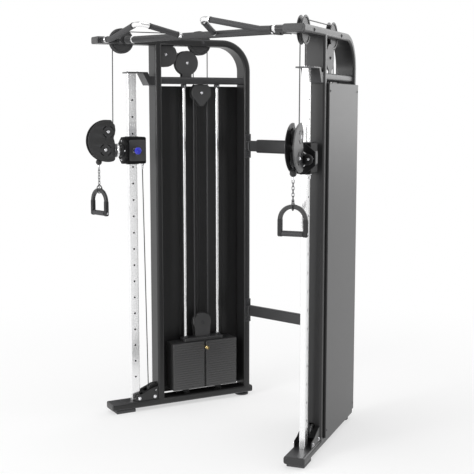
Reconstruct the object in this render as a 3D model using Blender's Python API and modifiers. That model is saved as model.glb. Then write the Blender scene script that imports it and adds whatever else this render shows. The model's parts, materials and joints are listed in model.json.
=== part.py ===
"""Cable crossover machine: two splayed pulley towers with weight stacks, a pull-up bar
across their fronts and two crossbars across their backs.

Each tower is laid out in its own frame, held by an empty on the floor under the middle
of its front post: local X points outward from the machine's middle, local Y runs back
along the tower, and Z is up. The left tower repeats the right one with X turned round.
The machine's frame carries both towers and puts the middle of the footprint at the origin.
"""

import math

import bmesh
import bpy
from mathutils import Vector

# Towers and tubes, in metres
SPLAY = math.radians(20.5)          # turn of each tower about Z, fronts apart
FRONT_HALF = 0.609                  # half the distance between the front posts
FOOTPRINT_MID_Y = 0.0650            # middle of the footprint, behind the front posts
POST_SPACING = 0.606                # front post centre to rear post centre
TUBE_T = 0.042                      # tube thickness in the tower's plane
TUBE_W = 0.115                      # tube width across the tower's plane
TUBE_EDGE = 0.012                   # rounding of the tube's long edges
FOOT_H = 0.022
TOP_Z = 2.261                       # centre line of the top bar
TOP_FRONT_Y = -0.378                # front end of the top bar
BASE_FRONT_Y = -0.320
BASE_REAR_Y = 0.640
BEND_R = 0.170                      # centre line radius of the rear bend
MID_Z = 2.033                       # centre line of the bar over the weight stack
MID_W = 0.090
GAP = 0.0004                        # left between pieces that rest on each other

# Column and carriage
COLUMN_Y = -0.157
COLUMN_X_SIZE = 0.032
COLUMN_Y_SIZE = 0.055
COLUMN_TOP = 2.072
HOLE_PITCH = 0.100
HOLE_R = 0.006
HOLES_ABOVE, HOLES_BELOW = 3, 14    # counted from the hole that the carriage rests at
CARRIAGE_Z = 1.614
CARRIAGE_H = 0.161
CARRIAGE_FRONT, CARRIAGE_REAR = -0.205, -0.078
CARRIAGE_W = 0.084
SLIDE_FIT = 0.001                   # between the column and the carriage's bore
FLANGE_FRONT = -0.222
FLANGE_HALF_W, FLANGE_SIDE = 0.068, 0.036   # its half width, and half the height of its sides
FLANGE_TOP, FLANGE_HALF_H = 0.012, 0.080    # half the width of its top, and its half height
PIN_TRAVEL = 0.009                  # clear space beside the carriage for the drawn pin
PIN_REACH = 0.056                   # from the carriage to the middle of the pin's knob
PIN_INNER_X = -0.0165               # inner end of the drawn pin, just clear of the column

# Pulleys: (y, z) of each axle in the tower's frame
PULLEY_R = 0.074
PULLEY_GROOVE_R = 0.0515
PULLEY_W = 0.030
AXLE_R = 0.006
AXLE_FIT = 0.0003
CABLE_R = 0.003
FRONT_TOP = (-0.216, TOP_Z)
REAR_TOP = (0.295, TOP_Z)
FRONT_RETURN = (0.063, 2.187)
REAR_RETURN = (0.205, 2.139)
STACK_Y = POST_SPACING / 2
OVERHEAD = (STACK_Y, 1.959)
STACK_SHEAVE = (STACK_Y, 0.512)
BASE_PULLEY = (-0.037, 0.122)
BASE_PULLEY_R, BASE_GROOVE_R = 0.048, 0.0395
BLOCK_R = 0.054                     # sheaves of the overhead block and of the stack
BLOCK_GROOVE_R = 0.0425
CHEEK_X = 0.0185                    # middle of each side plate that holds an axle
CHEEK_T = 0.004

# Swivelling pulley housing on the carriage
HOUSING_CENTRE = (-0.315, 1.673)
HOUSING_R = 0.125
HOUSING_REAR = -0.272
HOUSING_T = 0.046
HOUSING_SLOT = 0.037
BOSS_R, BOSS_REAR = 0.040, -0.2235
UPPER_PULLEY = (-0.313, 1.727)
LOWER_PULLEY = (-0.3315, 1.620)
HOUSING_PULLEY_R = 0.046
HOUSING_GROOVE_R = 0.0335
BALL_KNOB_R, BALL_KNOB = 0.030, (0.038, -0.258, 1.612)

# Handle
CABLE_END = (-0.368, 1.548)         # centre of the stop ball
HANDLE_TURN = {1: 0.0, -1: math.radians(15)}    # each handle hangs free
RING_Z = 1.382
RING_R, RING_WIRE_R = 0.018, 0.0035
GRIP_Z = 1.245
GRIP_R = 0.0145
HANDLE_HALF = 0.0675                # middle of a leg, from the handle's middle
HANDLE_BAND = 0.022                 # width of the arched band, seen from the front
HANDLE_DEPTH = 0.018
CORE_R = 0.007                      # the rod that the grip turns on

# Weight stack
STACK_LEN, STACK_DEPTH = 0.445, 0.117
PLATE_H = 0.015
PLATES, LIFTED = 20, 3
STACK_BOTTOM = 0.098
ROD_OFFSET, ROD_R = 0.1135, 0.010
PIN_R = 0.0045

# Bars between the towers
PULL_BAR_Y = -0.247
PULL_BAR_R = 0.019
HANDLE_TUBE_R = 0.0145
BEND_POINT = (0.232, -0.482, 2.328)
HANDLE_INNER_X = 0.118
HANDLE_OUTER_Y = -0.345             # where a bent handle meets the top bar, in the tower's frame
HANDLE_LEVEL = 0.130                # its level stretch, from the top bar's inner face
CROSSBARS = {"upper_crossbar": 1.628, "lower_crossbar": 0.570}

STEPS = 16                          # flats around a pulley

# name: (colour, roughness, metallic)
FINISHES = {
    "powder_coat": ((0.060, 0.061, 0.064), 0.55, 0.2),
    "panel_coat": ((0.070, 0.071, 0.074), 0.60, 0.2),
    "chrome": ((0.80, 0.80, 0.81), 0.15, 1.0),
    "black_plastic": ((0.025, 0.025, 0.027), 0.45, 0.0),
    "black_rubber": ((0.018, 0.018, 0.018), 0.85, 0.0),
    "blue_plastic": ((0.020, 0.050, 0.420), 0.35, 0.0),
    "black_steel": ((0.030, 0.030, 0.032), 0.50, 0.4),
    "brass": ((0.80, 0.62, 0.22), 0.30, 1.0),
}


# Scene and finishes

def clear_scene():
    for obj in list(bpy.data.objects):
        bpy.data.objects.remove(obj, do_unlink=True)


def new_collection(name, hidden=False):
    collection = bpy.data.collections.new(name)
    collection.hide_render = hidden
    bpy.context.scene.collection.children.link(collection)
    return collection


def make_finishes():
    made = {}
    for name, (colour, roughness, metallic) in FINISHES.items():
        finish = bpy.data.materials.new(name)
        finish.use_nodes = True
        shader = finish.node_tree.nodes["Principled BSDF"]
        shader.inputs["Base Color"].default_value = (*colour, 1.0)
        shader.inputs["Roughness"].default_value = roughness
        shader.inputs["Metallic"].default_value = metallic
        made[name] = finish
    return made


# Shapes: each returns a mesh around its own origin

def box_mesh(x, y, z):
    bm = bmesh.new()
    bmesh.ops.create_cube(bm, size=1.0)
    bmesh.ops.scale(bm, vec=(x, y, z), verts=bm.verts)
    return finish_mesh(bm)


def rod_mesh(radius, length, segments=16):
    """A round bar along Z."""
    bm = bmesh.new()
    bmesh.ops.create_cone(bm, cap_ends=True, segments=segments, radius1=radius,
                          radius2=radius, depth=length)
    return finish_mesh(bm)


def ball_mesh(radius):
    bm = bmesh.new()
    bmesh.ops.create_uvsphere(bm, u_segments=12, v_segments=8, radius=radius)
    return finish_mesh(bm)


def finish_mesh(bm):
    bmesh.ops.recalc_face_normals(bm, faces=bm.faces)
    mesh = bpy.data.meshes.new("shape")
    bm.to_mesh(mesh)
    bm.free()
    return mesh


def mesh_of_curve(curve):
    """The curve's solid as a mesh, with its loose caps welded to its sides."""
    guide = bpy.data.objects.new("guide", curve)
    bpy.context.scene.collection.objects.link(guide)
    graph = bpy.context.evaluated_depsgraph_get()
    mesh = bpy.data.meshes.new_from_object(guide.evaluated_get(graph))
    bpy.data.objects.remove(guide)
    bm = bmesh.new()
    bm.from_mesh(mesh)
    bmesh.ops.remove_doubles(bm, verts=bm.verts, dist=0.00001)
    bmesh.ops.recalc_face_normals(bm, faces=bm.faces)
    bm.to_mesh(mesh)
    bm.free()
    return mesh


def add_spline(curve, points, cyclic):
    spline = curve.splines.new("POLY")
    spline.points.add(len(points) - 1)
    for point, place in zip(spline.points, points):
        point.co = (*place, 0.0, 1.0) if len(place) == 2 else (*place, 1.0)
    spline.use_cyclic_u = cyclic


def outline_mesh(outlines, thickness):
    """Flat closed outlines in the curve's XY plane, thickened evenly along Z. Inner ones are holes."""
    curve = bpy.data.curves.new("outline", "CURVE")
    curve.dimensions = "2D"
    curve.fill_mode = "BOTH"
    curve.extrude = thickness / 2
    for points in outlines:
        add_spline(curve, points, cyclic=True)
    return mesh_of_curve(curve)


def wire_mesh(points, radius, cyclic=False, resolution=2):
    curve = bpy.data.curves.new("wire", "CURVE")
    curve.dimensions = "3D"
    curve.bevel_depth = radius
    curve.bevel_resolution = resolution
    curve.use_fill_caps = not cyclic
    add_spline(curve, points, cyclic)
    return mesh_of_curve(curve)


def arc(centre, radius, start, end, steps):
    """Points on a circle, from one angle to another in degrees."""
    angles = [math.radians(start + (end - start) * i / steps) for i in range(steps + 1)]
    return [(centre[0] + radius * math.cos(a), centre[1] + radius * math.sin(a)) for a in angles]


def rounded_corner(before, corner, after, radius, steps=5):
    """An arc in space that rounds the corner between two straight stretches."""
    corner = Vector(corner)
    to_before = (Vector(before) - corner).normalized()
    to_after = (Vector(after) - corner).normalized()
    half = to_before.angle(to_after) / 2
    middle = corner + (to_before + to_after).normalized() * radius / math.sin(half)
    start = corner + to_before * radius / math.tan(half)
    end = corner + to_after * radius / math.tan(half)
    first, last = (start - middle).normalized(), (end - middle).normalized()
    return [tuple(middle + radius * first.slerp(last, i / steps)) for i in range(steps + 1)]


# Objects

def make_frame(name, place, turn, parent, parts):
    """An empty that other objects hang from."""
    frame = bpy.data.objects.new(name, None)
    frame.location = place
    frame.rotation_euler = (0, 0, turn)
    frame.parent = parent
    parts.objects.link(frame)
    return frame


class Bench:
    """Makes the parts that hang from one frame. Side -1 mirrors the X of every place."""

    def __init__(self, frame, prefix, side, parts, cutters, finishes):
        self.frame, self.prefix, self.side = frame, prefix, side
        self.parts, self.cutters, self.finishes = parts, cutters, finishes

    def part(self, name, mesh, finish, place=(0, 0, 0), turn=(0, 0, 0), smooth=True):
        obj = bpy.data.objects.new(self.prefix + name, mesh)
        mesh.materials.clear()
        mesh.materials.append(self.finishes[finish])
        if smooth:
            mesh.shade_smooth()
            mesh.set_sharp_from_angle(angle=math.radians(35))
        return self.put(obj, self.parts, place, turn)

    def tool(self, name, mesh, place=(0, 0, 0), turn=(0, 0, 0)):
        """A hidden shape that is joined to a part or cut from it."""
        obj = bpy.data.objects.new(f"{self.prefix}{name}_tool", mesh)
        obj.hide_render = True
        obj.display_type = "WIRE"
        return self.put(obj, self.cutters, place, turn)

    def put(self, obj, collection, place, turn):
        obj.parent = self.frame
        obj.location = (self.side * place[0], place[1], place[2])
        obj.rotation_euler = turn
        collection.objects.link(obj)
        return obj


def combine(target, tool, operation):
    step = target.modifiers.new(operation.lower(), "BOOLEAN")
    step.operation = operation
    step.object = tool


def round_edges(obj, width, segments, angle=50):
    bevel = obj.modifiers.new("round_edges", "BEVEL")
    bevel.width = width
    bevel.segments = segments
    bevel.limit_method = "ANGLE"
    bevel.angle_limit = math.radians(angle)


def round_rims(obj, width, segments):
    """Rounds only the edges round the two flat faces of a thickened outline."""
    bm = bmesh.new()
    bm.from_mesh(obj.data)
    weight = bm.edges.layers.float.new("bevel_weight_edge")
    for edge in bm.edges:
        level = abs(edge.verts[0].co.z - edge.verts[1].co.z) < 1e-6
        folded = len(edge.link_faces) == 2 and edge.calc_face_angle() > math.radians(80)
        edge[weight] = 1.0 if level and folded else 0.0
    bm.to_mesh(obj.data)
    bm.free()
    bevel = obj.modifiers.new("round_rims", "BEVEL")
    bevel.width = width
    bevel.segments = segments
    bevel.limit_method = "WEIGHT"


ALONG_X = (0, math.pi / 2, 0)       # turns a shape made along Z to lie along X
ALONG_Y = (math.pi / 2, 0, 0)       # turns a shape made along Z to lie along Y
UPRIGHT = (math.pi / 2, 0, math.pi / 2)     # stands an outline drawn as (y, z) in the tower's plane


# Frame

def frame_outline():
    """The welded side frame seen from the side: post, top bar, rear bend, rear post and base."""
    half = TUBE_T / 2
    base_low, base_high = FOOT_H, FOOT_H + TUBE_T
    bend = (POST_SPACING - BEND_R, TOP_Z - BEND_R)
    outer = [(BASE_FRONT_Y, base_low), (BASE_REAR_Y, base_low), (BASE_REAR_Y, base_high),
             (POST_SPACING + half, base_high)]
    outer += arc(bend, BEND_R + half, 0, 90, 8)
    outer += [(TOP_FRONT_Y, TOP_Z + half), (TOP_FRONT_Y, TOP_Z - half), (-half, TOP_Z - half),
              (-half, base_high), (BASE_FRONT_Y, base_high)]
    opening = [(half, base_high), (half, TOP_Z - half)]
    opening += arc(bend, BEND_R - half, 90, 0, 8)
    opening += [(POST_SPACING - half, base_high)]
    return [outer, opening]


def head_bracket_outline():
    """The bent plate that holds the column's head, from the column's top to the front post."""
    half = TUBE_T / 2
    top = COLUMN_TOP + GAP
    return [[(-0.192, top), (-0.098, top), (-0.060, 2.002), (-half + 0.001, 2.002),
             (-half + 0.001, 2.056), (-0.056, 2.056), (-0.068, top + 0.008), (-0.192, top + 0.008)]]


def cheek_outlines():
    """Side plates that hold the return pulleys and the overhead block, as (y, z) outlines."""
    front = arc(FRONT_RETURN, PULLEY_R, -150, 35, 12)
    front += [(0.105, TOP_Z - TUBE_T / 4), (-0.010, TOP_Z - TUBE_T / 4)]
    stem = 0.030
    stem_turn = math.degrees(math.asin(stem / PULLEY_R))
    rear = arc(REAR_RETURN, PULLEY_R, -90 + stem_turn, 270 - stem_turn, 18)
    rear += [(REAR_RETURN[0] - stem, MID_Z), (REAR_RETURN[0] + stem, MID_Z)]
    overhead_r = 0.065
    overhead = arc(OVERHEAD, overhead_r, 125, 200, 6) + arc(
        (OVERHEAD[0], OVERHEAD[1] - 0.060), 0.022, 215, 325, 4)
    overhead += arc(OVERHEAD, overhead_r, -20, 55, 6)
    return {"front_return": front, "rear_return": rear, "overhead": overhead}


def build_side_frame(tower):
    body = tower.part("side_frame", outline_mesh(frame_outline(), TUBE_W), "powder_coat",
                      turn=UPRIGHT)
    round_rims(body, TUBE_EDGE, 2)
    inside = POST_SPACING - TUBE_T
    mid_bar = tower.tool("mid_bar", box_mesh(MID_W, inside + 0.010, TUBE_T),
                         (0, POST_SPACING / 2, MID_Z))
    combine(body, mid_bar, "UNION")
    bracket = tower.tool("head_bracket", outline_mesh(head_bracket_outline(), 0.100), turn=UPRIGHT)
    combine(body, bracket, "UNION")
    for name, y, z, length, height in (
            ("front_top", FRONT_TOP[0], TOP_Z, 2 * PULLEY_R + 0.006, 0.10),
            ("rear_top", REAR_TOP[0], TOP_Z, 2 * PULLEY_R + 0.006, 0.10),
            ("front_return", 0.063, 2.181, 2 * PULLEY_R + 0.008, 0.170),
            ("base_pulley", -0.030, 0.125, 0.100, 0.122),
            ("stack_runs", STACK_Y, MID_Z, 0.120, 0.10)):
        slot = tower.tool(f"{name}_slot", box_mesh(PULLEY_W + 0.003, length, height), (0, y, z))
        combine(body, slot, "DIFFERENCE")
    for name, outline in cheek_outlines().items():
        for face in (-1, 1):
            cheek = tower.tool(f"{name}_cheek_{face + 1}", outline_mesh([outline], CHEEK_T),
                               (face * CHEEK_X, 0, 0), UPRIGHT)
            combine(body, cheek, "UNION")
    for name, (y, z) in (("front_top", FRONT_TOP), ("rear_top", REAR_TOP),
                         ("front_return", FRONT_RETURN), ("rear_return", REAR_RETURN),
                         ("overhead", OVERHEAD)):
        axle = tower.tool(f"{name}_axle", rod_mesh(AXLE_R, 2 * CHEEK_X + CHEEK_T / 2),
                          (0, y, z), ALONG_X)
        combine(body, axle, "UNION")


def build_shroud(tower):
    """The outer panel: one sheet with a folded front edge and three pressed ribs."""
    sheet, low, high = 0.003, FOOT_H + TUBE_T + 0.002, 2.000
    face = TUBE_W / 2 + 0.012
    front, rear = TUBE_T / 2 + 0.006, POST_SPACING + TUBE_T / 2 - 0.004
    rib_depth, rib_width = 0.005, 0.024
    inner = [(0.030, front + sheet), (face - sheet, front + sheet)]
    for share in (0.30, 0.52, 0.80):
        y = front + share * (POST_SPACING - 2 * front)
        inner += [(face - sheet, y - rib_width / 2), (face - sheet - rib_depth, y - rib_width / 3),
                  (face - sheet - rib_depth, y + rib_width / 3), (face - sheet, y + rib_width / 2)]
    inner += [(face - sheet, rear)]
    outer = [(face, rear), (face, front), (0.030, front)]
    outline = [(tower.side * x, y) for x, y in inner + outer]
    tower.part("shroud", outline_mesh([outline], high - low), "panel_coat",
               (0, 0, (low + high) / 2), smooth=False)


def build_column(tower):
    low = FOOT_H + TUBE_T + GAP
    column = tower.part("column", box_mesh(COLUMN_X_SIZE, COLUMN_Y_SIZE, COLUMN_TOP - low),
                        "chrome", (0, COLUMN_Y, (COLUMN_TOP + low) / 2))
    round_edges(column, 0.003, 1)
    for hole in range(-HOLES_BELOW, HOLES_ABOVE + 1):
        drill = tower.tool(f"column_hole_{hole + HOLES_BELOW}",
                           rod_mesh(HOLE_R, COLUMN_X_SIZE + 0.01, 8),
                           (0, COLUMN_Y, CARRIAGE_Z + hole * HOLE_PITCH), ALONG_X)
        combine(column, drill, "DIFFERENCE")


def build_base_bracket(tower):
    """The hood over the base pulley, open at its front and bolted to the base tube."""
    low, high = FOOT_H + TUBE_T + GAP, 0.180
    front, rear = -0.127, -TUBE_T / 2 - GAP
    wall, width = 0.004, 0.100
    outline = [(front, low), (rear, low), (rear, high), (-0.058, high), (-0.104, 0.117),
               (front, 0.108)]
    hood = tower.part("base_pulley_bracket", outline_mesh([outline], width), "black_steel",
                      turn=UPRIGHT, smooth=False)
    hollow_outline = [(front - wall, low - wall), (rear + wall, low - wall),
                      (rear + wall, high - wall), (-0.060, high - wall),
                      (-0.106, 0.117 - wall), (front - wall, 0.108 - wall)]
    hollow = tower.tool("hood_hollow", outline_mesh([hollow_outline], width - 2 * wall),
                        turn=UPRIGHT)
    combine(hood, hollow, "DIFFERENCE")
    cable_slot = tower.tool("hood_cable_slot", box_mesh(0.016, 0.044, 0.090), (0, -0.085, 0.165))
    combine(hood, cable_slot, "DIFFERENCE")
    axle = tower.tool("base_axle", rod_mesh(AXLE_R, width - wall),
                      (0, *BASE_PULLEY), ALONG_X)
    combine(hood, axle, "UNION")


def build_guide_rods(tower):
    low, high = FOOT_H + TUBE_T + GAP, MID_Z - TUBE_T / 2 - GAP
    for name, offset in (("front", -ROD_OFFSET), ("rear", ROD_OFFSET)):
        tower.part(f"{name}_guide_rod", rod_mesh(ROD_R, high - low), "chrome",
                   (0, STACK_Y + offset, (low + high) / 2))


def build_feet(tower):
    height = FOOT_H - GAP
    front = tower.part("front_foot", box_mesh(0.106, 0.125, height), "black_rubber",
                       (0, -0.235, height / 2))
    round_edges(front, 0.004, 1)
    rear = tower.part("rear_foot", rod_mesh(0.044, height, 20), "black_rubber",
                      (0, 0.594, height / 2))
    round_edges(rear, 0.004, 1)


# Pulleys

def pulley_profile(rim, groove, width, bore):
    """Closed half section of a grooved wheel, from the top of its bore round its rim."""
    half, lip = width / 2, 0.004
    return [(bore, half), (rim, half), (rim, half - lip), (groove, CABLE_R),
            (groove, -CABLE_R), (rim, lip - half), (rim, -half), (bore, -half)]


def turned_mesh(profile):
    mesh = bpy.data.meshes.new("profile")
    edges = [(i, (i + 1) % len(profile)) for i in range(len(profile))]
    mesh.from_pydata([(r, 0.0, z) for r, z in profile], edges, [])
    return mesh


def build_pulley(tower, name, place, rim, groove):
    profile = pulley_profile(rim, groove, PULLEY_W, AXLE_R + AXLE_FIT)
    pulley = tower.part(name, turned_mesh(profile), "black_plastic", (0, *place), ALONG_X,
                        smooth=False)
    screw = pulley.modifiers.new("turn", "SCREW")
    screw.steps = screw.render_steps = STEPS
    screw.use_merge_vertices = True
    screw.merge_threshold = 0.00001
    return pulley


def build_pulleys(tower):
    wide, slim = (PULLEY_R - 0.002, PULLEY_GROOVE_R), (BLOCK_R, BLOCK_GROOVE_R)
    build_pulley(tower, "front_top_pulley", FRONT_TOP, PULLEY_R, PULLEY_GROOVE_R)
    build_pulley(tower, "rear_top_pulley", REAR_TOP, PULLEY_R, PULLEY_GROOVE_R)
    build_pulley(tower, "front_return_pulley", FRONT_RETURN, *wide)
    build_pulley(tower, "rear_return_pulley", REAR_RETURN, *wide)
    build_pulley(tower, "overhead_pulley", OVERHEAD, *slim)
    build_pulley(tower, "stack_pulley", STACK_SHEAVE, *slim)
    build_pulley(tower, "base_pulley", BASE_PULLEY, BASE_PULLEY_R, BASE_GROOVE_R)
    for name, place in (("upper", UPPER_PULLEY), ("lower", LOWER_PULLEY)):
        build_pulley(tower, f"housing_{name}_pulley", place, HOUSING_PULLEY_R, HOUSING_GROOVE_R)


# Carriage, pop pin and swivelling housing

def build_carriage(tower):
    depth = CARRIAGE_REAR - CARRIAGE_FRONT
    middle = (CARRIAGE_FRONT + CARRIAGE_REAR) / 2
    carriage = tower.part("carriage", box_mesh(CARRIAGE_W, depth, CARRIAGE_H), "black_plastic",
                          (0, middle, CARRIAGE_Z))
    round_edges(carriage, 0.008, 2)
    overlap = 0.002
    quarter = [(FLANGE_HALF_W, FLANGE_SIDE), (FLANGE_TOP, FLANGE_HALF_H)]
    octagon = quarter + [(-x, z) for x, z in reversed(quarter)]
    octagon += [(-x, -z) for x, z in quarter] + [(x, -z) for x, z in reversed(quarter)]
    flange = tower.tool("carriage_flange",
                        outline_mesh([octagon], CARRIAGE_FRONT - FLANGE_FRONT + overlap),
                        (0, (CARRIAGE_FRONT + FLANGE_FRONT + overlap) / 2, CARRIAGE_Z),
                        (math.pi / 2, 0, 0))
    combine(carriage, flange, "UNION")
    bore = tower.tool("carriage_bore",
                      box_mesh(COLUMN_X_SIZE + 2 * SLIDE_FIT, COLUMN_Y_SIZE + 2 * SLIDE_FIT,
                               CARRIAGE_H + 0.02), (0, COLUMN_Y, CARRIAGE_Z))
    combine(carriage, bore, "DIFFERENCE")
    pin_bore = tower.tool("carriage_pin_bore", rod_mesh(0.0056, CARRIAGE_W, 12),
                          (-CARRIAGE_W / 2, COLUMN_Y, CARRIAGE_Z), ALONG_X)
    combine(carriage, pin_bore, "DIFFERENCE")


def build_pop_pin(tower):
    """The spring pin that holds the carriage at a hole, with its barrel and pull knob."""
    outside = -CARRIAGE_W / 2
    knob_x = outside - PIN_REACH
    pin = tower.part("pop_pin", rod_mesh(0.0050, PIN_INNER_X - knob_x, 12), "blue_plastic",
                     ((PIN_INNER_X + knob_x) / 2, COLUMN_Y, CARRIAGE_Z), ALONG_X)
    barrel_x = outside - PIN_TRAVEL
    barrel = tower.tool("pop_pin_barrel", rod_mesh(0.0095, barrel_x - knob_x, 16),
                        ((barrel_x + knob_x) / 2, COLUMN_Y, CARRIAGE_Z), ALONG_X)
    combine(pin, barrel, "UNION")
    knob = tower.tool("pop_pin_knob", rod_mesh(0.021, 0.018, 18), (knob_x, COLUMN_Y, CARRIAGE_Z),
                      ALONG_X)
    combine(pin, knob, "UNION")


def housing_outline():
    """One half shell: a round guard in front, a lobe round the upper pulley, a flat rear."""
    lobe = [(-0.280, 1.690), (-0.268, 1.735), (-0.2715, 1.768)]
    outline = arc(HOUSING_CENTRE, HOUSING_R, 80, 280, 20)
    return outline + [(-0.282, 1.553), (HOUSING_REAR, 1.562), (HOUSING_REAR, 1.658)] + lobe


def build_housing(tower):
    housing = tower.part("pulley_housing", outline_mesh([housing_outline()], HOUSING_T),
                         "black_plastic", turn=UPRIGHT)
    round_rims(housing, 0.004, 1)
    web = 0.008                     # joins the shells behind the lower pulley
    length, above = 0.260, CARRIAGE_Z + 0.052
    for name, rear, low in (("lower", HOUSING_REAR - web, above - 0.300),
                            ("upper", HOUSING_REAR + 0.020, above - 0.001)):
        slot = tower.tool(f"housing_{name}_slot", box_mesh(HOUSING_SLOT, length, 0.301),
                          (0, rear - length / 2, low + 0.150))
        combine(housing, slot, "DIFFERENCE")
    length = BOSS_REAR - HOUSING_REAR + web / 2
    boss = tower.tool("housing_boss", rod_mesh(BOSS_R, length, 20),
                      (0, BOSS_REAR - length / 2, CARRIAGE_Z), ALONG_Y)
    combine(housing, boss, "UNION")
    knob = tower.tool("housing_knob", ball_mesh(BALL_KNOB_R), BALL_KNOB)
    combine(housing, knob, "UNION")
    for name, (y, z) in (("upper", UPPER_PULLEY), ("lower", LOWER_PULLEY)):
        axle = tower.tool(f"housing_{name}_axle", rod_mesh(AXLE_R, HOUSING_T - 0.003),
                          (0, y, z), ALONG_X)
        combine(housing, axle, "UNION")


def build_drop_cable(tower):
    """The run of cable from the front top pulley down to the housing."""
    low = (0.0, UPPER_PULLEY[0] + HOUSING_GROOVE_R + CABLE_R + GAP, UPPER_PULLEY[1])
    high = (0.0, FRONT_TOP[0] - PULLEY_GROOVE_R - CABLE_R - GAP, FRONT_TOP[1])
    tower.part("drop_cable", wire_mesh([low, high], CABLE_R, resolution=1), "black_plastic")


# Handle

def build_cable_end(tower):
    """Stop ball, short cable and the ring that the handle hangs on."""
    y, ball_z = CABLE_END
    end = tower.part("cable_end", ball_mesh(0.018), "black_rubber", (0, y, ball_z))
    top = RING_Z + RING_R
    shank = tower.tool("cable_shank", rod_mesh(0.005, ball_z - top, 12),
                       (0, y, (ball_z + top) / 2))
    combine(end, shank, "UNION")
    ring_points = [(0, RING_R * math.cos(a), RING_R * math.sin(a))
                   for a in (math.radians(22.5 * i) for i in range(16))]
    ring = tower.tool("cable_ring", wire_mesh(ring_points, RING_WIRE_R, cyclic=True),
                      (0, y, RING_Z), (0, 0, HANDLE_TURN[tower.side]))
    combine(end, ring, "UNION")


def handle_outline():
    """The arched band of the handle, seen from the front, around the ring's centre."""
    middle = (0.0, -HANDLE_HALF)
    foot = GRIP_Z - RING_Z - GRIP_R - 0.0015
    outer, inner = HANDLE_HALF + HANDLE_BAND / 2, HANDLE_HALF - HANDLE_BAND / 2
    return [arc(middle, outer, 0, 180, 18) + [(-outer, foot + 0.006), (-outer + 0.006, foot),
            (-inner, foot)] + arc(middle, inner, 180, 0, 14) + [(inner, foot),
            (outer - 0.006, foot), (outer, foot + 0.006)]]


def build_handle(tower):
    y = CABLE_END[0]
    turn = HANDLE_TURN[tower.side]
    strap = tower.part("handle_strap", outline_mesh(handle_outline(), HANDLE_DEPTH),
                       "black_plastic", (0, y, RING_Z), (math.pi / 2, 0, turn))
    round_rims(strap, 0.002, 1)
    core = tower.tool("handle_core", rod_mesh(CORE_R, 2 * HANDLE_HALF), (0, y, GRIP_Z),
                      (0, math.pi / 2, turn))
    combine(strap, core, "UNION")
    clear = 2 * HANDLE_HALF - HANDLE_BAND - 0.002
    grip = tower.part("handle_grip", rod_mesh(GRIP_R, clear, 20), "black_rubber",
                      (0, y, GRIP_Z), (0, math.pi / 2, turn))
    bore = tower.tool("grip_bore", rod_mesh(CORE_R + AXLE_FIT, 2 * HANDLE_HALF, 16),
                      (0, y, GRIP_Z), (0, math.pi / 2, turn))
    combine(grip, bore, "DIFFERENCE")


# Weight stack

def bore_stack(tower, plates, name, low, high):
    for rod, offset in (("front", -ROD_OFFSET), ("rear", ROD_OFFSET)):
        bore = tower.tool(f"{name}_{rod}_bore", rod_mesh(ROD_R + 0.001, high - low + 0.02),
                          (0, STACK_Y + offset, (low + high) / 2))
        combine(plates, bore, "DIFFERENCE")
    spine = tower.tool(f"{name}_spine_bore", rod_mesh(0.011, high - low + 0.02),
                       (0, STACK_Y, (low + high) / 2))
    combine(plates, spine, "DIFFERENCE")


def build_stack(tower):
    split = STACK_BOTTOM + (PLATES - LIFTED) * PLATE_H
    top = STACK_BOTTOM + PLATES * PLATE_H
    pin_z = split + PLATE_H / 2
    for name, low, high in (("resting_plates", STACK_BOTTOM, split - GAP),
                            ("lifted_plates", split, top)):
        plates = tower.part(name, box_mesh(STACK_DEPTH, STACK_LEN, high - low), "black_steel",
                            (0, STACK_Y, (low + high) / 2), smooth=False)
        bore_stack(tower, plates, name, low, high)
        if name == "lifted_plates":
            pin_hole = tower.tool("plate_pin_hole", rod_mesh(0.0052, STACK_DEPTH / 2 + 0.02, 12),
                                  (-STACK_DEPTH / 4 - 0.006, STACK_Y, pin_z), ALONG_X)
            combine(plates, pin_hole, "DIFFERENCE")
    build_lifting_head(tower, top + GAP, split + 0.001, pin_z)
    build_selector_pin(tower, pin_z)


def build_lifting_head(tower, low, spine_low, pin_z):
    """Head plate, the yoke that holds the stack pulley, and the spine that the pin locks."""
    plate_h = 0.022
    head = tower.part("lifting_head", box_mesh(0.080, 0.270, plate_h), "black_steel",
                      (0, STACK_Y, low + plate_h / 2), smooth=False)
    for rod, offset in (("front", -ROD_OFFSET), ("rear", ROD_OFFSET)):
        bore = tower.tool(f"head_{rod}_bore", rod_mesh(ROD_R + 0.001, 0.060),
                          (0, STACK_Y + offset, low + plate_h / 2))
        combine(head, bore, "DIFFERENCE")
    arch = arc(STACK_SHEAVE, 0.060, -25, 205, 14)
    arch += [(STACK_Y - 0.050, low + plate_h / 2), (STACK_Y + 0.050, low + plate_h / 2)]
    for face in (-1, 1):
        cheek = tower.tool(f"yoke_cheek_{face + 1}", outline_mesh([arch], CHEEK_T),
                           (face * CHEEK_X, 0, 0), UPRIGHT)
        combine(head, cheek, "UNION")
    axle = tower.tool("yoke_axle", rod_mesh(AXLE_R, 2 * CHEEK_X + CHEEK_T / 2),
                      (0, *STACK_SHEAVE), ALONG_X)
    combine(head, axle, "UNION")
    spine = tower.tool("head_spine", rod_mesh(0.0095, low + plate_h / 2 - spine_low),
                       (0, STACK_Y, (low + plate_h / 2 + spine_low) / 2))
    combine(head, spine, "UNION")
    pin_hole = tower.tool("spine_pin_hole", rod_mesh(0.0052, 0.040, 12),
                          (0, STACK_Y, pin_z), ALONG_X)
    combine(head, pin_hole, "DIFFERENCE")


def build_selector_pin(tower, pin_z):
    face = -STACK_DEPTH / 2
    inner, outer = 0.009, face - 0.030
    pin = tower.part("selector_pin", rod_mesh(PIN_R, inner - outer, 12), "brass",
                     ((inner + outer) / 2, STACK_Y, pin_z), ALONG_X)
    head = tower.tool("selector_head", rod_mesh(0.010, 0.024, 16),
                      (outer, STACK_Y, pin_z), ALONG_X)
    combine(pin, head, "UNION")


# Bars between the towers

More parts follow.
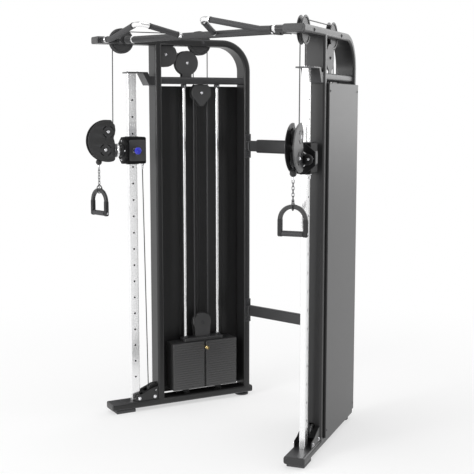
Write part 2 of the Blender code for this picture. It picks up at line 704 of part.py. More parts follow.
def tower_to_machine(side, x, y, z):
    """A place in a tower's frame, in the machine's frame."""
    turned_x = x * math.cos(SPLAY) - y * math.sin(SPLAY) + FRONT_HALF
    return Vector((side * turned_x, x * math.sin(SPLAY) + y * math.cos(SPLAY), z))


def inner_face_y(machine_y, x):
    """The tower's Y where the machine's Y is machine_y, on the plane at tower X."""
    return (machine_y - x * math.sin(SPLAY)) / math.cos(SPLAY)


def build_pull_up_bar(machine):
    """Straight cross tube with a bent handle at each side, welded to end stubs."""
    face = -TUBE_W / 2 - GAP
    bar_end = tower_to_machine(1, face, inner_face_y(PULL_BAR_Y, face), TOP_Z)
    reach = bar_end.x - 0.012
    bar = machine.part("pull_up_bar", rod_mesh(PULL_BAR_R, 2 * reach, 20), "powder_coat",
                       (0, PULL_BAR_Y, TOP_Z), ALONG_X)
    stub = 0.050
    for side in (-1, 1):
        handle_end = tower_to_machine(side, face - stub / 2, HANDLE_OUTER_Y, TOP_Z)
        elbow = tower_to_machine(side, face - HANDLE_LEVEL, HANDLE_OUTER_Y, TOP_Z)
        start = (side * HANDLE_INNER_X, PULL_BAR_Y, TOP_Z)
        bend = (side * BEND_POINT[0], BEND_POINT[1], BEND_POINT[2])
        path = [start] + rounded_corner(start, bend, elbow, 0.050)
        path += rounded_corner(bend, elbow, handle_end, 0.080, 3) + [tuple(handle_end)]
        handle = machine.tool(f"bent_handle_{side + 1}", wire_mesh(path, HANDLE_TUBE_R))
        combine(bar, handle, "UNION")
        turn = (0, math.pi / 2, side * SPLAY)
        for name, y, radius in (("bar", inner_face_y(PULL_BAR_Y, face), 0.0205),
                                ("handle", HANDLE_OUTER_Y, 0.0195)):
            place = tower_to_machine(side, face - stub / 2, y, TOP_Z)
            end = machine.tool(f"{name}_stub_{side + 1}", rod_mesh(radius, stub, 20), place, turn)
            combine(bar, end, "UNION")


def build_crossbar(machine, name, z):
    """A tube between the rear posts, with bolting plates that follow the posts' inner faces."""
    face = -TUBE_W / 2 - GAP
    middle = tower_to_machine(1, face, POST_SPACING, z)
    depth, height, sleeve = 0.040, 0.066, 0.082
    bar = machine.part(name, box_mesh(2 * (middle.x - 0.012), depth, height), "powder_coat",
                       (0, middle.y, z))
    round_edges(bar, 0.008, 2)
    if name == "upper_crossbar":
        cover = machine.tool(f"{name}_sleeve", box_mesh(0.500, depth + 0.010, sleeve),
                             (0, middle.y, z))
        combine(bar, cover, "UNION")
    plate_t, stub = 0.008, 0.040
    for side in (-1, 1):
        turn = (0, 0, side * SPLAY)
        for tool_name, x_size, y_size, z_size in (
                ("plate", plate_t, TUBE_T - 0.002, 0.150), ("stub", stub, 0.036, height - 0.004)):
            place = tower_to_machine(side, face - x_size / 2, POST_SPACING, z)
            end = machine.tool(f"{name}_{tool_name}_{side + 1}", box_mesh(x_size, y_size, z_size),
                               place, turn)
            combine(bar, end, "UNION")


def build():
    clear_scene()
    parts = new_collection("cable_crossover_machine")
    cutters = new_collection("cutters", hidden=True)
    finishes = make_finishes()
    machine_frame = make_frame("machine_frame", (0, -FOOTPRINT_MID_Y, 0), 0, None, parts)
    for side, name in ((1, "right"), (-1, "left")):
        tower_frame = make_frame(f"{name}_tower_frame", (side * FRONT_HALF, 0, 0), side * SPLAY,
                                 machine_frame, parts)
        tower = Bench(tower_frame, f"{name}_", side, parts, cutters, finishes)
        build_side_frame(tower)
        build_shroud(tower)
        build_column(tower)
        build_base_bracket(tower)
        build_guide_rods(tower)
        build_feet(tower)
        build_pulleys(tower)
        build_carriage(tower)
        build_pop_pin(tower)
        build_housing(tower)
        build_drop_cable(tower)
        build_cable_end(tower)
        build_handle(tower)
        build_stack(tower)
    machine = Bench(machine_frame, "", 1, parts, cutters, finishes)
    build_pull_up_bar(machine)
    for name, z in CROSSBARS.items():
        build_crossbar(machine, name, z)


build()
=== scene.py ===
import json
import math

import bmesh
import bpy
from mathutils import Matrix, Vector


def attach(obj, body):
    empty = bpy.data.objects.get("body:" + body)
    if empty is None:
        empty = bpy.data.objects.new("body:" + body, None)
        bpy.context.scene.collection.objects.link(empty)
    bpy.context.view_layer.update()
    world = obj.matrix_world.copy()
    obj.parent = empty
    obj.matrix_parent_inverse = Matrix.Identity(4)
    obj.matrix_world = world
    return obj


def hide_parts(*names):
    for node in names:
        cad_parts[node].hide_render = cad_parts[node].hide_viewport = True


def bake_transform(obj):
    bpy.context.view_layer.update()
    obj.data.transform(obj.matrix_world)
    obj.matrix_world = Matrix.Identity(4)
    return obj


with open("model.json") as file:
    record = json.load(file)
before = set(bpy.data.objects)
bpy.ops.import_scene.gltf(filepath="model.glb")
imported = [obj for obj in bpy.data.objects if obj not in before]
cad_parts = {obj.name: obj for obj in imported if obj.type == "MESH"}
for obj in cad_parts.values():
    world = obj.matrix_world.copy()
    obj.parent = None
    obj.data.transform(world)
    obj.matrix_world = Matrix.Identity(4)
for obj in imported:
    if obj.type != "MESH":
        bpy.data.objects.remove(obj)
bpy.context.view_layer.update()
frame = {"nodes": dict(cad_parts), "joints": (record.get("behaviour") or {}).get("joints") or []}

joints = {joint["name"]: joint for joint in frame["joints"]}

# Sizes in metres, in a tower's own frame: X outward, Y back along the tower, Z up
POST_SPACING = 0.606
TUBE_T, TUBE_W, TUBE_EDGE = 0.042, 0.115, 0.013
FOOT_H = 0.022
TOP_Z = 2.261
TOP_FRONT_Y = -0.378
BASE_FRONT_Y, BASE_REAR_Y = -0.320, 0.640
BASE_TOP = FOOT_H + TUBE_T
BEND_R = 0.170
MID_Z, MID_W = 2.033, 0.090
STACK_Y = POST_SPACING / 2
COLUMN_Y, COLUMN_X_SIZE, COLUMN_Y_SIZE, COLUMN_TOP = -0.157, 0.032, 0.055, 2.072
HOLE_PITCH, HOLE_R, HOLES_ABOVE, HOLES_BELOW = 0.100, 0.006, 3, 14
CARRIAGE_Z, CARRIAGE_H, CARRIAGE_W = 1.614, 0.161, 0.084
CARRIAGE_FRONT, CARRIAGE_REAR, FLANGE_FRONT = -0.205, -0.078, -0.222
PIN_REACH = 0.056
CABLE_R = 0.003
# How far a cable runs from the axis of the pulleys it passes
TOP_LINE, BLOCK_LINE, BASE_LINE, HOUSING_LINE = 0.055, 0.046, 0.0305, 0.0365
FRONT_TOP, REAR_TOP = (-0.216, TOP_Z), (0.295, TOP_Z)
FRONT_RETURN, REAR_RETURN = (0.063, 2.187), (0.205, 2.139)
OVERHEAD, STACK_SHEAVE, BASE_PULLEY = (STACK_Y, 1.959), (STACK_Y, 0.512), (-0.037, 0.122)
HOUSING_T, HOUSING_SLOT, HOUSING_REAR = 0.046, 0.037, -0.272
HOUSING_CENTRE, HOUSING_R = (-0.315, 1.673), 0.125
UPPER_PULLEY, LOWER_PULLEY = (-0.313, 1.727), (-0.3315, 1.620)
CABLE_END = (-0.368, 1.548)
HANDLE_TURN = {1: 0.0, -1: math.radians(15)}
RING_Z, GRIP_Z, GRIP_R = 1.382, 1.245, 0.0145
HANDLE_HALF, HANDLE_BAND, HANDLE_DEPTH = 0.0675, 0.022, 0.018
STACK_LEN, STACK_DEPTH, PLATE_H, PLATES, LIFTED, STACK_BOTTOM = 0.445, 0.117, 0.015, 20, 3, 0.098
ROD_OFFSET, ROD_R = 0.1135, 0.010
PULL_BAR_Y, PULL_BAR_R = -0.247, 0.019
BEND_POINT, HANDLE_INNER_X = (0.232, -0.482, 2.328), 0.118
HANDLE_OUTER_Y, HANDLE_LEVEL = -0.345, 0.130
CHEEK_X, CHEEK_T, CHEEK_R = 0.0185, 0.004, 0.074
CHEEK_FACE = CHEEK_X + CHEEK_T / 2
AXLE_R, PULLEY_W = 0.0058, 0.030
HOOD_HALF = 0.050
PULL_TUBE_R, PULL_GRIP_R = 0.0135, 0.0158
GAP = 0.0004                 # left between pieces that meet, so that no two faces coincide
SUNK = 0.0005                # how far a bolt or cap is set into, and a bead off, what it sits on
WELD_R = 0.0022
SHARP_ANGLE = 38             # degrees between faces, above which an edge stays sharp
PATCHES = 7.0                # about how many light and dark patches a metre of any finish has


# Finishes

def add(tree, kind, inputs=(), **settings):
    """A new node. An input given a socket is linked to it, and any other is set to the value."""
    node = tree.nodes.new(f"ShaderNode{kind}")
    for key, value in settings.items():
        setattr(node, key, value)
    for key, value in dict(inputs).items():
        if isinstance(value, bpy.types.NodeSocket):
            tree.links.new(value, node.inputs[key])
        else:
            node.inputs[key].default_value = value
    return node


def ranged(tree, value, *limits, **settings):
    """A value mapped from the range of the first two limits to the range of the last two."""
    inputs = dict(zip(("From Min", "From Max", "To Min", "To Max"), limits), Value=value)
    return add(tree, "MapRange", inputs, **settings).outputs["Result"]


def finish(name, colour, rough, metal=0.0, grain=900.0, bump=0.15, depth=0.0003, mottle=0.08,
           stretch=(1.0, 1.0, 1.0), worn=None, bands=0.0, specular=0.5, rough_spread=0.06):
    """A surface with fine grain in its relief and gloss, broad mottling in its colour and, where
    asked, lighter worn edges or slanting bands like the strands of a cable."""
    material = bpy.data.materials.new(name)
    material.use_nodes = True
    tree = material.node_tree
    surface = tree.nodes["Principled BSDF"].inputs
    surface["Metallic"].default_value = metal
    surface["Specular IOR Level"].default_value = specular
    place = add(tree, "TexCoord").outputs["Object"]
    scaled = add(tree, "Mapping", {"Vector": place, "Scale": stretch}).outputs["Vector"]
    fine, broad = [add(tree, "TexNoise", {"Vector": scaled, "Scale": density, "Detail": detail})
                   .outputs["Fac"] for density, detail in ((grain, 3.0), (PATCHES, 4.0))]
    both = add(tree, "Math", {0: fine, 1: broad}, operation="ADD").outputs[0]
    darker, lighter = [(*(min(1.0, c * share) for c in colour), 1.0)
                       for share in (1 - mottle, 1 + mottle)]
    shade = add(tree, "Mix", {"Factor": ranged(tree, both, 0.6, 1.4, 0.0, 1.0), "A": darker,
                              "B": lighter}, data_type="RGBA").outputs["Result"]
    if worn:
        edge = add(tree, "NewGeometry").outputs["Pointiness"]
        shade = add(tree, "Mix", {"Factor": ranged(tree, edge, 0.515, 0.60, 0.0, 0.6), "A": shade,
                                  "B": (*worn, 1.0)}, data_type="RGBA").outputs["Result"]
    height = fine
    if bands:
        height = add(tree, "TexWave", {"Vector": place, "Scale": bands},
                     bands_direction="DIAGONAL").outputs["Fac"]
    relief = add(tree, "Bump", {"Height": height, "Strength": bump, "Distance": depth})
    gloss = ranged(tree, fine, 0.3, 0.7, rough - rough_spread, rough + rough_spread)
    for key, socket in (("Base Color", shade), ("Roughness", gloss),
                        ("Normal", relief.outputs["Normal"])):
        tree.links.new(socket, surface[key])
    return material


POWDER = finish("powder_coat", (0.015, 0.015, 0.0155), 0.34, grain=520, bump=0.30, depth=0.0004,
                specular=0.47, worn=(0.10, 0.10, 0.105))
PANEL = finish("panel_coat", (0.018, 0.018, 0.0185), 0.36, grain=620, bump=0.30)
CHROME = finish("chrome", (0.95, 0.95, 0.955), 0.20, metal=0.9, grain=260, bump=0.04,
                depth=0.0001, mottle=0.02, stretch=(1.0, 1.0, 0.03), rough_spread=0.03)
ZINC = finish("zinc_plate", (0.78, 0.78, 0.80), 0.24, metal=1.0, grain=700, bump=0.10,
              depth=0.0001)
PLASTIC = finish("black_nylon", (0.024, 0.024, 0.0245), 0.34, grain=1100, bump=0.22, depth=0.0002,
                 worn=(0.06, 0.06, 0.065))
MATT = finish("matt_black", (0.010, 0.010, 0.0105), 0.52, grain=600, bump=0.10, depth=0.0002,
              specular=0.08)
DISC = finish("grey_nylon", (0.048, 0.048, 0.049), 0.40, grain=1100, bump=0.20, depth=0.0002)
PAD = finish("foot_rubber", (0.055, 0.055, 0.057), 0.60, grain=1300, bump=0.30)
RUBBER = finish("black_rubber", (0.016, 0.016, 0.017), 0.72, grain=1500, bump=0.35)
GRIP = finish("ribbed_grip", (0.038, 0.038, 0.040), 0.62, grain=420, bump=0.45, depth=0.0006)
BLUE = finish("blue_knob", (0.035, 0.040, 0.50), 0.30, bump=0.10, depth=0.0002)
IRON = finish("painted_iron", (0.033, 0.033, 0.034), 0.36, grain=480, bump=0.30, depth=0.0004,
              mottle=0.15, worn=(0.12, 0.12, 0.12))
BRASS = finish("brass_pin", (0.86, 0.66, 0.30), 0.22, metal=1.0, grain=800, bump=0.08,
               depth=0.0001)
CABLE = finish("coated_cable", (0.030, 0.030, 0.032), 0.35, bump=0.5, depth=0.0004, bands=420.0)
CHAIN = finish("dull_chain", (0.16, 0.16, 0.165), 0.38, metal=0.8, depth=0.0001)
STEEL_BLACK = finish("black_steel", (0.020, 0.020, 0.022), 0.40, grain=700, bump=0.2,
                     worn=(0.08, 0.08, 0.085))


# Shapes: every function returns a mesh in the frame of its tower

def turned(axis):
    """The rotation that lays a shape made along Z along the given direction."""
    return Vector(axis).to_track_quat("Z", "Y").to_matrix().to_4x4()


def place(name, data):
    obj = bpy.data.objects.new(name, data)
    bpy.context.scene.collection.objects.link(obj)
    return obj


def new_mesh(bm):
    bmesh.ops.recalc_face_normals(bm, faces=bm.faces)
    mesh = bpy.data.meshes.new("shape")
    bm.to_mesh(mesh)
    bm.free()
    return mesh


def remade(mesh, matrix, merge=None):
    """The mesh with its faces turned outward, moved by the matrix and, if asked, its seams closed."""
    bm = bmesh.new()
    bm.from_mesh(mesh)
    bpy.data.meshes.remove(mesh)
    if merge:
        bmesh.ops.remove_doubles(bm, verts=bm.verts, dist=merge)
    mesh = new_mesh(bm)
    mesh.transform(matrix)
    return mesh


def block(size, at, radius=0.002, steps=3, turn=0.0):
    bm = bmesh.new()
    bmesh.ops.create_cube(bm, size=1.0)
    bmesh.ops.scale(bm, vec=size, verts=bm.verts)
    bmesh.ops.bevel(bm, geom=list(bm.edges), offset=radius, segments=steps, profile=0.5,
                    affect="EDGES")
    mesh = new_mesh(bm)
    mesh.transform(Matrix.Translation(at) @ Matrix.Rotation(turn, 4, "Z"))
    return mesh


def lathe(profile, at=(0, 0, 0), axis=(0, 0, 1), flats=48, closed=False, lobes=0, lobe=0.0):
    """A profile of (radius, height) points turned about an axis. Lobes scallop its rim."""
    verts, rings = [], []
    for radius, height in profile:
        if radius < 1e-7:
            rings.append([len(verts)])
            verts.append((0.0, 0.0, height))
            continue
        rings.append(list(range(len(verts), len(verts) + flats)))
        for i in range(flats):
            a = 2 * math.pi * i / flats
            r = radius * (1 + lobe * math.cos(lobes * a))
            verts.append((r * math.cos(a), r * math.sin(a), height))
    faces = []
    for first, second in zip(rings, rings[1:] + ([rings[0]] if closed else [])):
        for i in range(flats):
            j = (i + 1) % flats
            corners = [first[i % len(first)], first[j % len(first)],
                       second[j % len(second)], second[i % len(second)]]
            faces.append(list(dict.fromkeys(corners)))
    mesh = bpy.data.meshes.new("turned")
    mesh.from_pydata(verts, [], [f for f in faces if len(f) > 2])
    return remade(mesh, Matrix.Translation(at) @ turned(axis))


def bar(radius, start, end, edge=0.0012, flats=40):
    """A round bar with softened ends, from one point to another."""
    start, end = Vector(start), Vector(end)
    length = (end - start).length
    half = [(0, 0), (radius - edge, 0), (radius - edge * 0.3, edge * 0.3), (radius, edge)]
    return lathe(half + [(r, length - h) for r, h in reversed(half)], start, end - start, flats)


def sleeve(inner, outer, start, end, edge=0.0008, flats=40):
    """A hollow round tube with softened rims."""
    start, end = Vector(start), Vector(end)
    length = (end - start).length
    half = [(inner, 0), (outer - edge, 0), (outer, edge)]
    profile = half + [(r, length - h) for r, h in reversed(half)]
    return lathe(profile, start, end - start, flats, closed=True)


def axle(half, at):
    """The axle of a pulley, between two cheeks that far from the middle."""
    return bar(AXLE_R, (-half, *at), (half, *at))


def ball(radius, at, flats=32):
    profile = [(radius * math.sin(math.pi * i / 20), -radius * math.cos(math.pi * i / 20))
               for i in range(21)]
    profile[0], profile[-1] = (0, -radius), (0, radius)
    return lathe(profile, at, flats=flats)


def arc(centre, radius, start, end, steps):
    angles = [math.radians(start + (end - start) * i / steps) for i in range(steps + 1)]
    return [(centre[0] + radius * math.cos(a), centre[1] + radius * math.sin(a)) for a in angles]


def circle(centre, radius, steps=24):
    return arc(centre, radius, 0, 360 * (steps - 1) / steps, steps - 1)


def rounded_rect(width, height, radius, at=(0, 0), steps=6):
    points = []
    for sx, sy, start in ((1, 1, 0), (-1, 1, 90), (-1, -1, 180), (1, -1, 270)):
        centre = (sx * (width / 2 - radius), sy * (height / 2 - radius))
        points += arc(centre, radius, start, start + 90, steps)
    return [(x + at[0], y + at[1]) for x, y in points]


def side_arc(*args):
    """An arc in the plane of the tower's frame, as points in space."""
    return [(0, *point) for point in arc(*args)]


def fillet(points, radius, steps=6, cyclic=False):
    """The polyline with its inner corners rounded, in two or three dimensions."""
    count, dims = len(points), len(points[0])
    out = []
    for i, point in enumerate(points):
        if not cyclic and i in (0, count - 1):
            out.append(tuple(point))
            continue
        before, corner, after = (Vector((*p, 0.0)[:3]) for p in
                                 (points[i - 1], point, points[(i + 1) % count]))
        before, after = before - corner, after - corner
        reach = min(before.length, after.length) * 0.49
        before.normalize()
        after.normalize()
        half = before.angle(after) / 2
        r = min(radius, reach * math.tan(half))
        middle = corner + (before + after).normalized() * r / math.sin(half)
        first = (corner + before * r / math.tan(half) - middle).normalized()
        last = (corner + after * r / math.tan(half) - middle).normalized()
        out += [tuple(middle + r * first.slerp(last, k / steps))[:dims] for k in range(steps + 1)]
    return out


def mesh_of_curve(curve, matrix):
    guide = place("guide", curve)
    graph = bpy.context.evaluated_depsgraph_get()
    mesh = bpy.data.meshes.new_from_object(guide.evaluated_get(graph))
    bpy.data.objects.remove(guide)
    bpy.data.curves.remove(curve)
    return remade(mesh, matrix, merge=0.00001)


def add_spline(curve, points, cyclic):
    spline = curve.splines.new("POLY")
    spline.points.add(len(points) - 1)
    for point, place in zip(spline.points, points):
        point.co = (*place, 0.0, 1.0) if len(place) == 2 else (*place, 1.0)
    spline.use_cyclic_u = cyclic


# The planes that an outline can lie in: (Y, Z), (X, Z) and (X, Y)
SIDE = Matrix(((0, 0, 1, 0), (1, 0, 0, 0), (0, 1, 0, 0), (0, 0, 0, 1)))
FRONT = Matrix(((1, 0, 0, 0), (0, 0, -1, 0), (0, 1, 0, 0), (0, 0, 0, 1)))
PLAN = Matrix.Identity(4)
NORMAL = {id(SIDE): Vector((1, 0, 0)), id(FRONT): Vector((0, -1, 0)), id(PLAN): Vector((0, 0, 1))}


def prism(outlines, plane, low, high, rim=0.001, steps=2):
    """Closed outlines, the inner ones holes, thickened between two levels, with rounded rims."""
    curve = bpy.data.curves.new("outline", "CURVE")
    curve.dimensions = "2D"
    curve.fill_mode = "BOTH"
    curve.extrude = abs(high - low) / 2 - rim
    curve.bevel_depth = rim
    curve.bevel_resolution = steps
    curve.offset = -rim
    for points in outlines:
        add_spline(curve, points, cyclic=True)
    level = (low + high) / 2 * (-1 if plane is FRONT else 1)
    return mesh_of_curve(curve, Matrix.Translation(NORMAL[id(plane)] * level) @ plane)


def wire(points, radius, cyclic=False, sides=4):
    curve = bpy.data.curves.new("wire", "CURVE")
    curve.dimensions = "3D"
    curve.bevel_depth = radius
    curve.bevel_resolution = sides
    curve.use_fill_caps = not cyclic
    add_spline(curve, [tuple(p) for p in points], cyclic)
    return mesh_of_curve(curve, Matrix.Identity(4))


def carved(mesh, cutters):
    """The mesh with the cutters' shapes taken out of it."""
    tool, body = place("tool", merged(cutters)), place("body", mesh)
    step = body.modifiers.new("cut", "BOOLEAN")
    step.operation = "DIFFERENCE"
    step.solver = "EXACT"
    step.object = tool
    graph = bpy.context.evaluated_depsgraph_get()
    out = bpy.data.meshes.new_from_object(body.evaluated_get(graph))
    for obj in (tool, body):
        bpy.data.objects.remove(obj)
    out.materials.clear()
    return out


def merged(meshes):
    bm = bmesh.new()
    for mesh in meshes:
        bm.from_mesh(mesh)
    out = bpy.data.meshes.new("merged")
    bm.to_mesh(out)
    bm.free()
    return out


def bolt(at, axis, radius=0.009, height=0.006):
    """A button-head socket bolt on a washer."""
    r, h = radius, height
    profile = [(0, h * 0.45), (r * 0.38, h * 0.45), (r * 0.38, h * 0.95), (r * 0.55, h * 1.15),
               (r * 0.85, h * 0.95), (r, h * 0.55), (r, h * 0.3), (r * 1.35, h * 0.28),
               (r * 1.42, h * 0.15), (r * 1.42, 0), (0, 0)]
    return lathe(profile, at, axis, 24)


def hex_bolt(at, axis, radius=0.010, height=0.008):
    """A hexagon head on a washer, with the end of its thread."""
    r, h = radius, height
    washer = lathe([(0, 0), (r * 1.45, 0), (r * 1.5, h * 0.12), (r * 1.45, h * 0.22), (0, h * 0.22)],
                   at, axis, 28)
    head = lathe([(0, h * 0.2), (r, h * 0.2), (r, h * 0.85), (r * 0.88, h), (r * 0.5, h),
                  (r * 0.45, h * 1.5), (0, h * 1.55)], at, axis, 6)
    return merged([washer, head])


def weld(points, radius):
    """A bead of weld round a joint."""
    return wire(points, radius, cyclic=True, sides=2)


# Towers

class Tower:
    def __init__(self, side):
        self.side, self.name = side, "right" if side > 0 else "left"
        n = Vector(joints[f"{self.name}_front_top_pulley_spin"]["axis"])
        u = Vector((-side * n.y, side * n.x, 0))
        verts = [v.co for v in frame["nodes"][f"{self.name}_side_frame"].data.vertices]
        along_n, along_u = [v.dot(n) for v in verts], [v.dot(u) for v in verts]
        origin = n * (min(along_n) + max(along_n)) / 2 + u * (max(along_u) - BASE_REAR_Y)
        self.outward = n
        self.matrix = Matrix(((n.x, u.x, 0, origin.x), (n.y, u.y, 0, origin.y),
                              (0, 0, 1, 0), (0, 0, 0, 1)))

    def point(self, x, y, z):
        return self.matrix @ Vector((x, y, z))

    def body(self, name):
        return name if name == "frame" else f"{self.name}_{name}"

    def piece(self, name, shapes, body="frame", stands_for=None, slot=None):
        """Joins (mesh, finish) pairs into one object that rides on one of this tower's bodies."""
        placed = []
        for mesh, material in shapes:
            mesh = mesh.copy()
            mesh.transform(self.matrix)
            if self.side < 0:
                mesh.flip_normals()
            placed.append((mesh, material))
        node = stands_for and f"{self.name}_{stands_for}"
        make_piece(f"{self.name}_{name}", placed, self.body(body), node)


def make_piece(name, shapes, body, node=None):
    """Joins (mesh, finish) pairs that are already in place into one object that rides on a body."""
    bm, finishes = bmesh.new(), []
    for mesh, material in shapes:
        start = len(bm.faces)
        bm.from_mesh(mesh)
        bm.faces.ensure_lookup_table()
        if material not in finishes:
            finishes.append(material)
        for face in bm.faces[start:]:
            face.material_index = finishes.index(material)
            face.smooth = True
    mesh = bpy.data.meshes.new(name)
    bm.to_mesh(mesh)
    bm.free()
    for material in finishes:
        mesh.materials.append(material)
    mesh.set_sharp_from_angle(angle=math.radians(SHARP_ANGLE))
    obj = place(name, mesh)
    even = obj.modifiers.new("even_shading", "WEIGHTED_NORMAL")
    even.keep_sharp = True
    if body:
        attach(obj, body)
    if node:
        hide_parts(node)
    return obj


def frame_outline():
    """The bent loop of the side frame with its base and top bar, and the opening inside it."""
    half = TUBE_T / 2
    bend = (POST_SPACING - BEND_R, TOP_Z - BEND_R)
    outer = [(BASE_FRONT_Y, FOOT_H), (BASE_REAR_Y, FOOT_H), (BASE_REAR_Y, BASE_TOP),
             (POST_SPACING + half, BASE_TOP)]
    outer += arc(bend, BEND_R + half, 0, 90, 20)
    outer += [(TOP_FRONT_Y, TOP_Z + half), (TOP_FRONT_Y, TOP_Z - half), (-half, TOP_Z - half),
              (-half, BASE_TOP), (BASE_FRONT_Y, BASE_TOP)]
    opening = [(half, BASE_TOP), (half, TOP_Z - half)]
    opening += arc(bend, BEND_R - half, 90, 0, 20)
    opening += [(POST_SPACING - half, BASE_TOP)]
    return [outer, opening]


def cheek_outlines():
    """The plates on either side of the two return pulleys and of the overhead pulley."""
    front = arc(FRONT_RETURN, CHEEK_R, -150, 35, 24)
    front += [(0.105, TOP_Z - 0.0215), (-0.010, TOP_Z - 0.0215)]
    stem = 0.030
    stem_turn = math.degrees(math.asin(stem / CHEEK_R))
    rear = arc(REAR_RETURN, CHEEK_R, -90 + stem_turn, 270 - stem_turn, 36)
    rear += [(REAR_RETURN[0] - stem, MID_Z + 0.021), (REAR_RETURN[0] + stem, MID_Z + 0.021)]
    tip = (OVERHEAD[0], OVERHEAD[1] - 0.060)
    overhead = arc(OVERHEAD, 0.065, 128, 200, 10) + arc(tip, 0.022, 215, 325, 8)
    overhead += arc(OVERHEAD, 0.065, -20, 52, 10)
    return [front, rear, overhead]


def cheeks(outline, rim):
    """The same plate on either side of a pulley."""
    return [(prism([outline], SIDE, x - CHEEK_T / 2, x + CHEEK_T / 2, rim), DISC)
            for x in (-CHEEK_X, CHEEK_X)]


def slot_tool(y, z, length, height):
    """A cutter for the slot that a pulley runs in."""
    return block((0.033, length, height), (0, y, z), 0.001, 1)


def build_side_frame(t):
    half_w, half_t = TUBE_W / 2, TUBE_T / 2
    loop = prism(frame_outline(), SIDE, -half_w, half_w, TUBE_EDGE, 5)
    loop = carved(loop, [slot_tool(*at, 0.154, 0.10) for at in (FRONT_TOP, REAR_TOP)])
    loop = carved(loop, [slot_tool(0.063, 2.176, 0.156, 0.160),
                         slot_tool(-0.030, 0.112, 0.100, 0.096)])
    mid = prism([rounded_rect(MID_W, TUBE_T, 0.015, (0, MID_Z))], FRONT, half_t - 0.004,
                POST_SPACING - half_t + 0.004, 0.0005, 1)
    mid = carved(mid, [slot_tool(STACK_Y, MID_Z, 0.120, 0.10)])
    top = COLUMN_TOP + GAP
    head = [(-0.192, top), (-0.098, top), (-0.060, 2.002), (-half_t - GAP, 2.002),
            (-half_t - GAP, 2.056), (-0.056, 2.056), (-0.068, top + 0.008), (-0.192, top + 0.008)]
    shapes = [(loop, POWDER), (mid, POWDER), (prism([head], SIDE, -0.050, 0.050, 0.0018), POWDER)]
    for outline in cheek_outlines():
        shapes += cheeks(outline, 0.0008)
    mid_bead = rounded_rect(MID_W + 0.001, TUBE_T + 0.001, 0.0155, (0, MID_Z))
    for y, bead, radius in ((half_t + SUNK, mid_bead, 0.0028),
                            (POST_SPACING - half_t - SUNK, mid_bead, 0.0028),
                            (-half_t - SUNK, rounded_rect(0.101, 0.055, 0.003, (0, 2.029)), WELD_R)):
        shapes += [(weld([(x, y, z) for x, z in bead], radius), POWDER)]
    t.piece("side_frame_weldment", shapes, "frame", "side_frame", "powder_coat")
    caps = []
    for end, out, z in ((TOP_FRONT_Y, -1, TOP_Z), (BASE_FRONT_Y, -1, FOOT_H + half_t),
                        (BASE_REAR_Y, 1, FOOT_H + half_t)):
        face = end + out * 0.004
        rim = rounded_rect(TUBE_W - 0.001, TUBE_T - 0.001, 0.0125, (0, z))
        caps += [(prism([rim], FRONT, *sorted((face, end - out * SUNK)), 0.0018), PLASTIC)]
        inner = rounded_rect(TUBE_W - 0.022, TUBE_T - 0.020, 0.008, (0, z))
        caps += [(prism([inner], FRONT, face - 0.0015, face + 0.0015, 0.0006), PLASTIC)]
    t.piece("tube_end_caps", caps, slot="black_plastic")
    bolts = []
    for face in (-1, 1):
        side = (face, 0, 0)
        for at in (FRONT_RETURN, REAR_RETURN, OVERHEAD):
            bolts += [(bolt((face * CHEEK_FACE, *at), side, 0.0068, 0.005),
                       STEEL_BLACK if face > 0 else ZINC)]
        for at in (FRONT_TOP, REAR_TOP):
            bolts += [(bolt((face * (half_w - SUNK), *at), side, 0.008, 0.004), STEEL_BLACK)]
        for y in (-0.147, -0.044):
            bolts += [(hex_bolt((face * HOOD_HALF, y, 0.081), side, 0.0072, 0.006), ZINC)]
    for at in (FRONT_TOP, REAR_TOP, FRONT_RETURN, REAR_RETURN, OVERHEAD):
        bolts += [(axle(CHEEK_X, at), ZINC)]
    for y in (-0.180, -0.115):
        bolts += [(bolt((0.0, y, top + 0.008), (0, 0, 1), 0.006, 0.004), ZINC)]
    t.piece("axle_and_bracket_bolts", bolts)


def build_shroud(t):
    sheet, low, high = 0.003, BASE_TOP + 0.002, 2.000
    face = TUBE_W / 2 + 0.012
    front, rear = TUBE_T / 2 + 0.006, POST_SPACING + TUBE_T / 2 - 0.004
    rib_depth, rib = 0.005, 0.024
    inner = [(0.030, front + sheet), (face - sheet, front + sheet)]
    for share in (0.30, 0.52, 0.80):
        y = front + share * (POST_SPACING - 2 * front)
        inner += [(face - sheet, y - rib / 2), (face - sheet - rib_depth, y - rib / 3),
                  (face - sheet - rib_depth, y + rib / 3), (face - sheet, y + rib / 2)]
    inner = fillet(inner + [(face - sheet, rear)], 0.002, 2)
    outer = fillet([(face, rear), (face, front), (0.030, front)], 0.005, 4)
    t.piece("shroud_panel", [(prism([inner + outer], PLAN, low, high, 0.0005, 1), PANEL)],
            "frame", "shroud", "panel_coat")
    screws = [(bolt((face - 0.0003, y, z), (1, 0, 0), 0.005, 0.003), STEEL_BLACK)
              for y in (front + 0.02, rear - 0.02) for z in (low + 0.04, high - 0.04)]
    t.piece("shroud_screws", screws)


def build_column(t):
    """The square tube with a hole through both sides at each stop, and inside it a dark sleeve of
    painted shade, so that the holes read dark. The sleeve is open only on the side that the pop pin
    enters from."""
    low = BASE_TOP + GAP
    tubes = []
    for wall, inset, (r_outer, r_inner), trim, rim, end in (
            (0.006, 0.0, (0.0045, 0.002), 0.0, 0.0004, 0.03),
            # the second row is the dark sleeve of painted shade inside the tube
            (0.002, 0.0062, (0.0019, 0.0015), 0.002, 0.0002, -0.002)):
        section = [rounded_rect(COLUMN_X_SIZE - less, COLUMN_Y_SIZE - less, r, (0, COLUMN_Y))
                   for less, r in ((inset, r_outer), (inset + wall, r_inner))]
        holes = [bar(HOLE_R, (-0.03, COLUMN_Y, z), (end, COLUMN_Y, z), 0.0002, 20)
                 for z in (CARRIAGE_Z + k * HOLE_PITCH for k in range(-HOLES_BELOW, HOLES_ABOVE + 1))]
        tubes.append(carved(prism(section, PLAN, low + trim, COLUMN_TOP - trim, rim, 1), holes))
    # the chrome tube, and the dark sleeve of painted shade in its bore
    tube, shade_sleeve = tubes
    t.piece("adjustment_column", [(tube, CHROME), (shade_sleeve, RUBBER)], "frame", "column", "chrome")


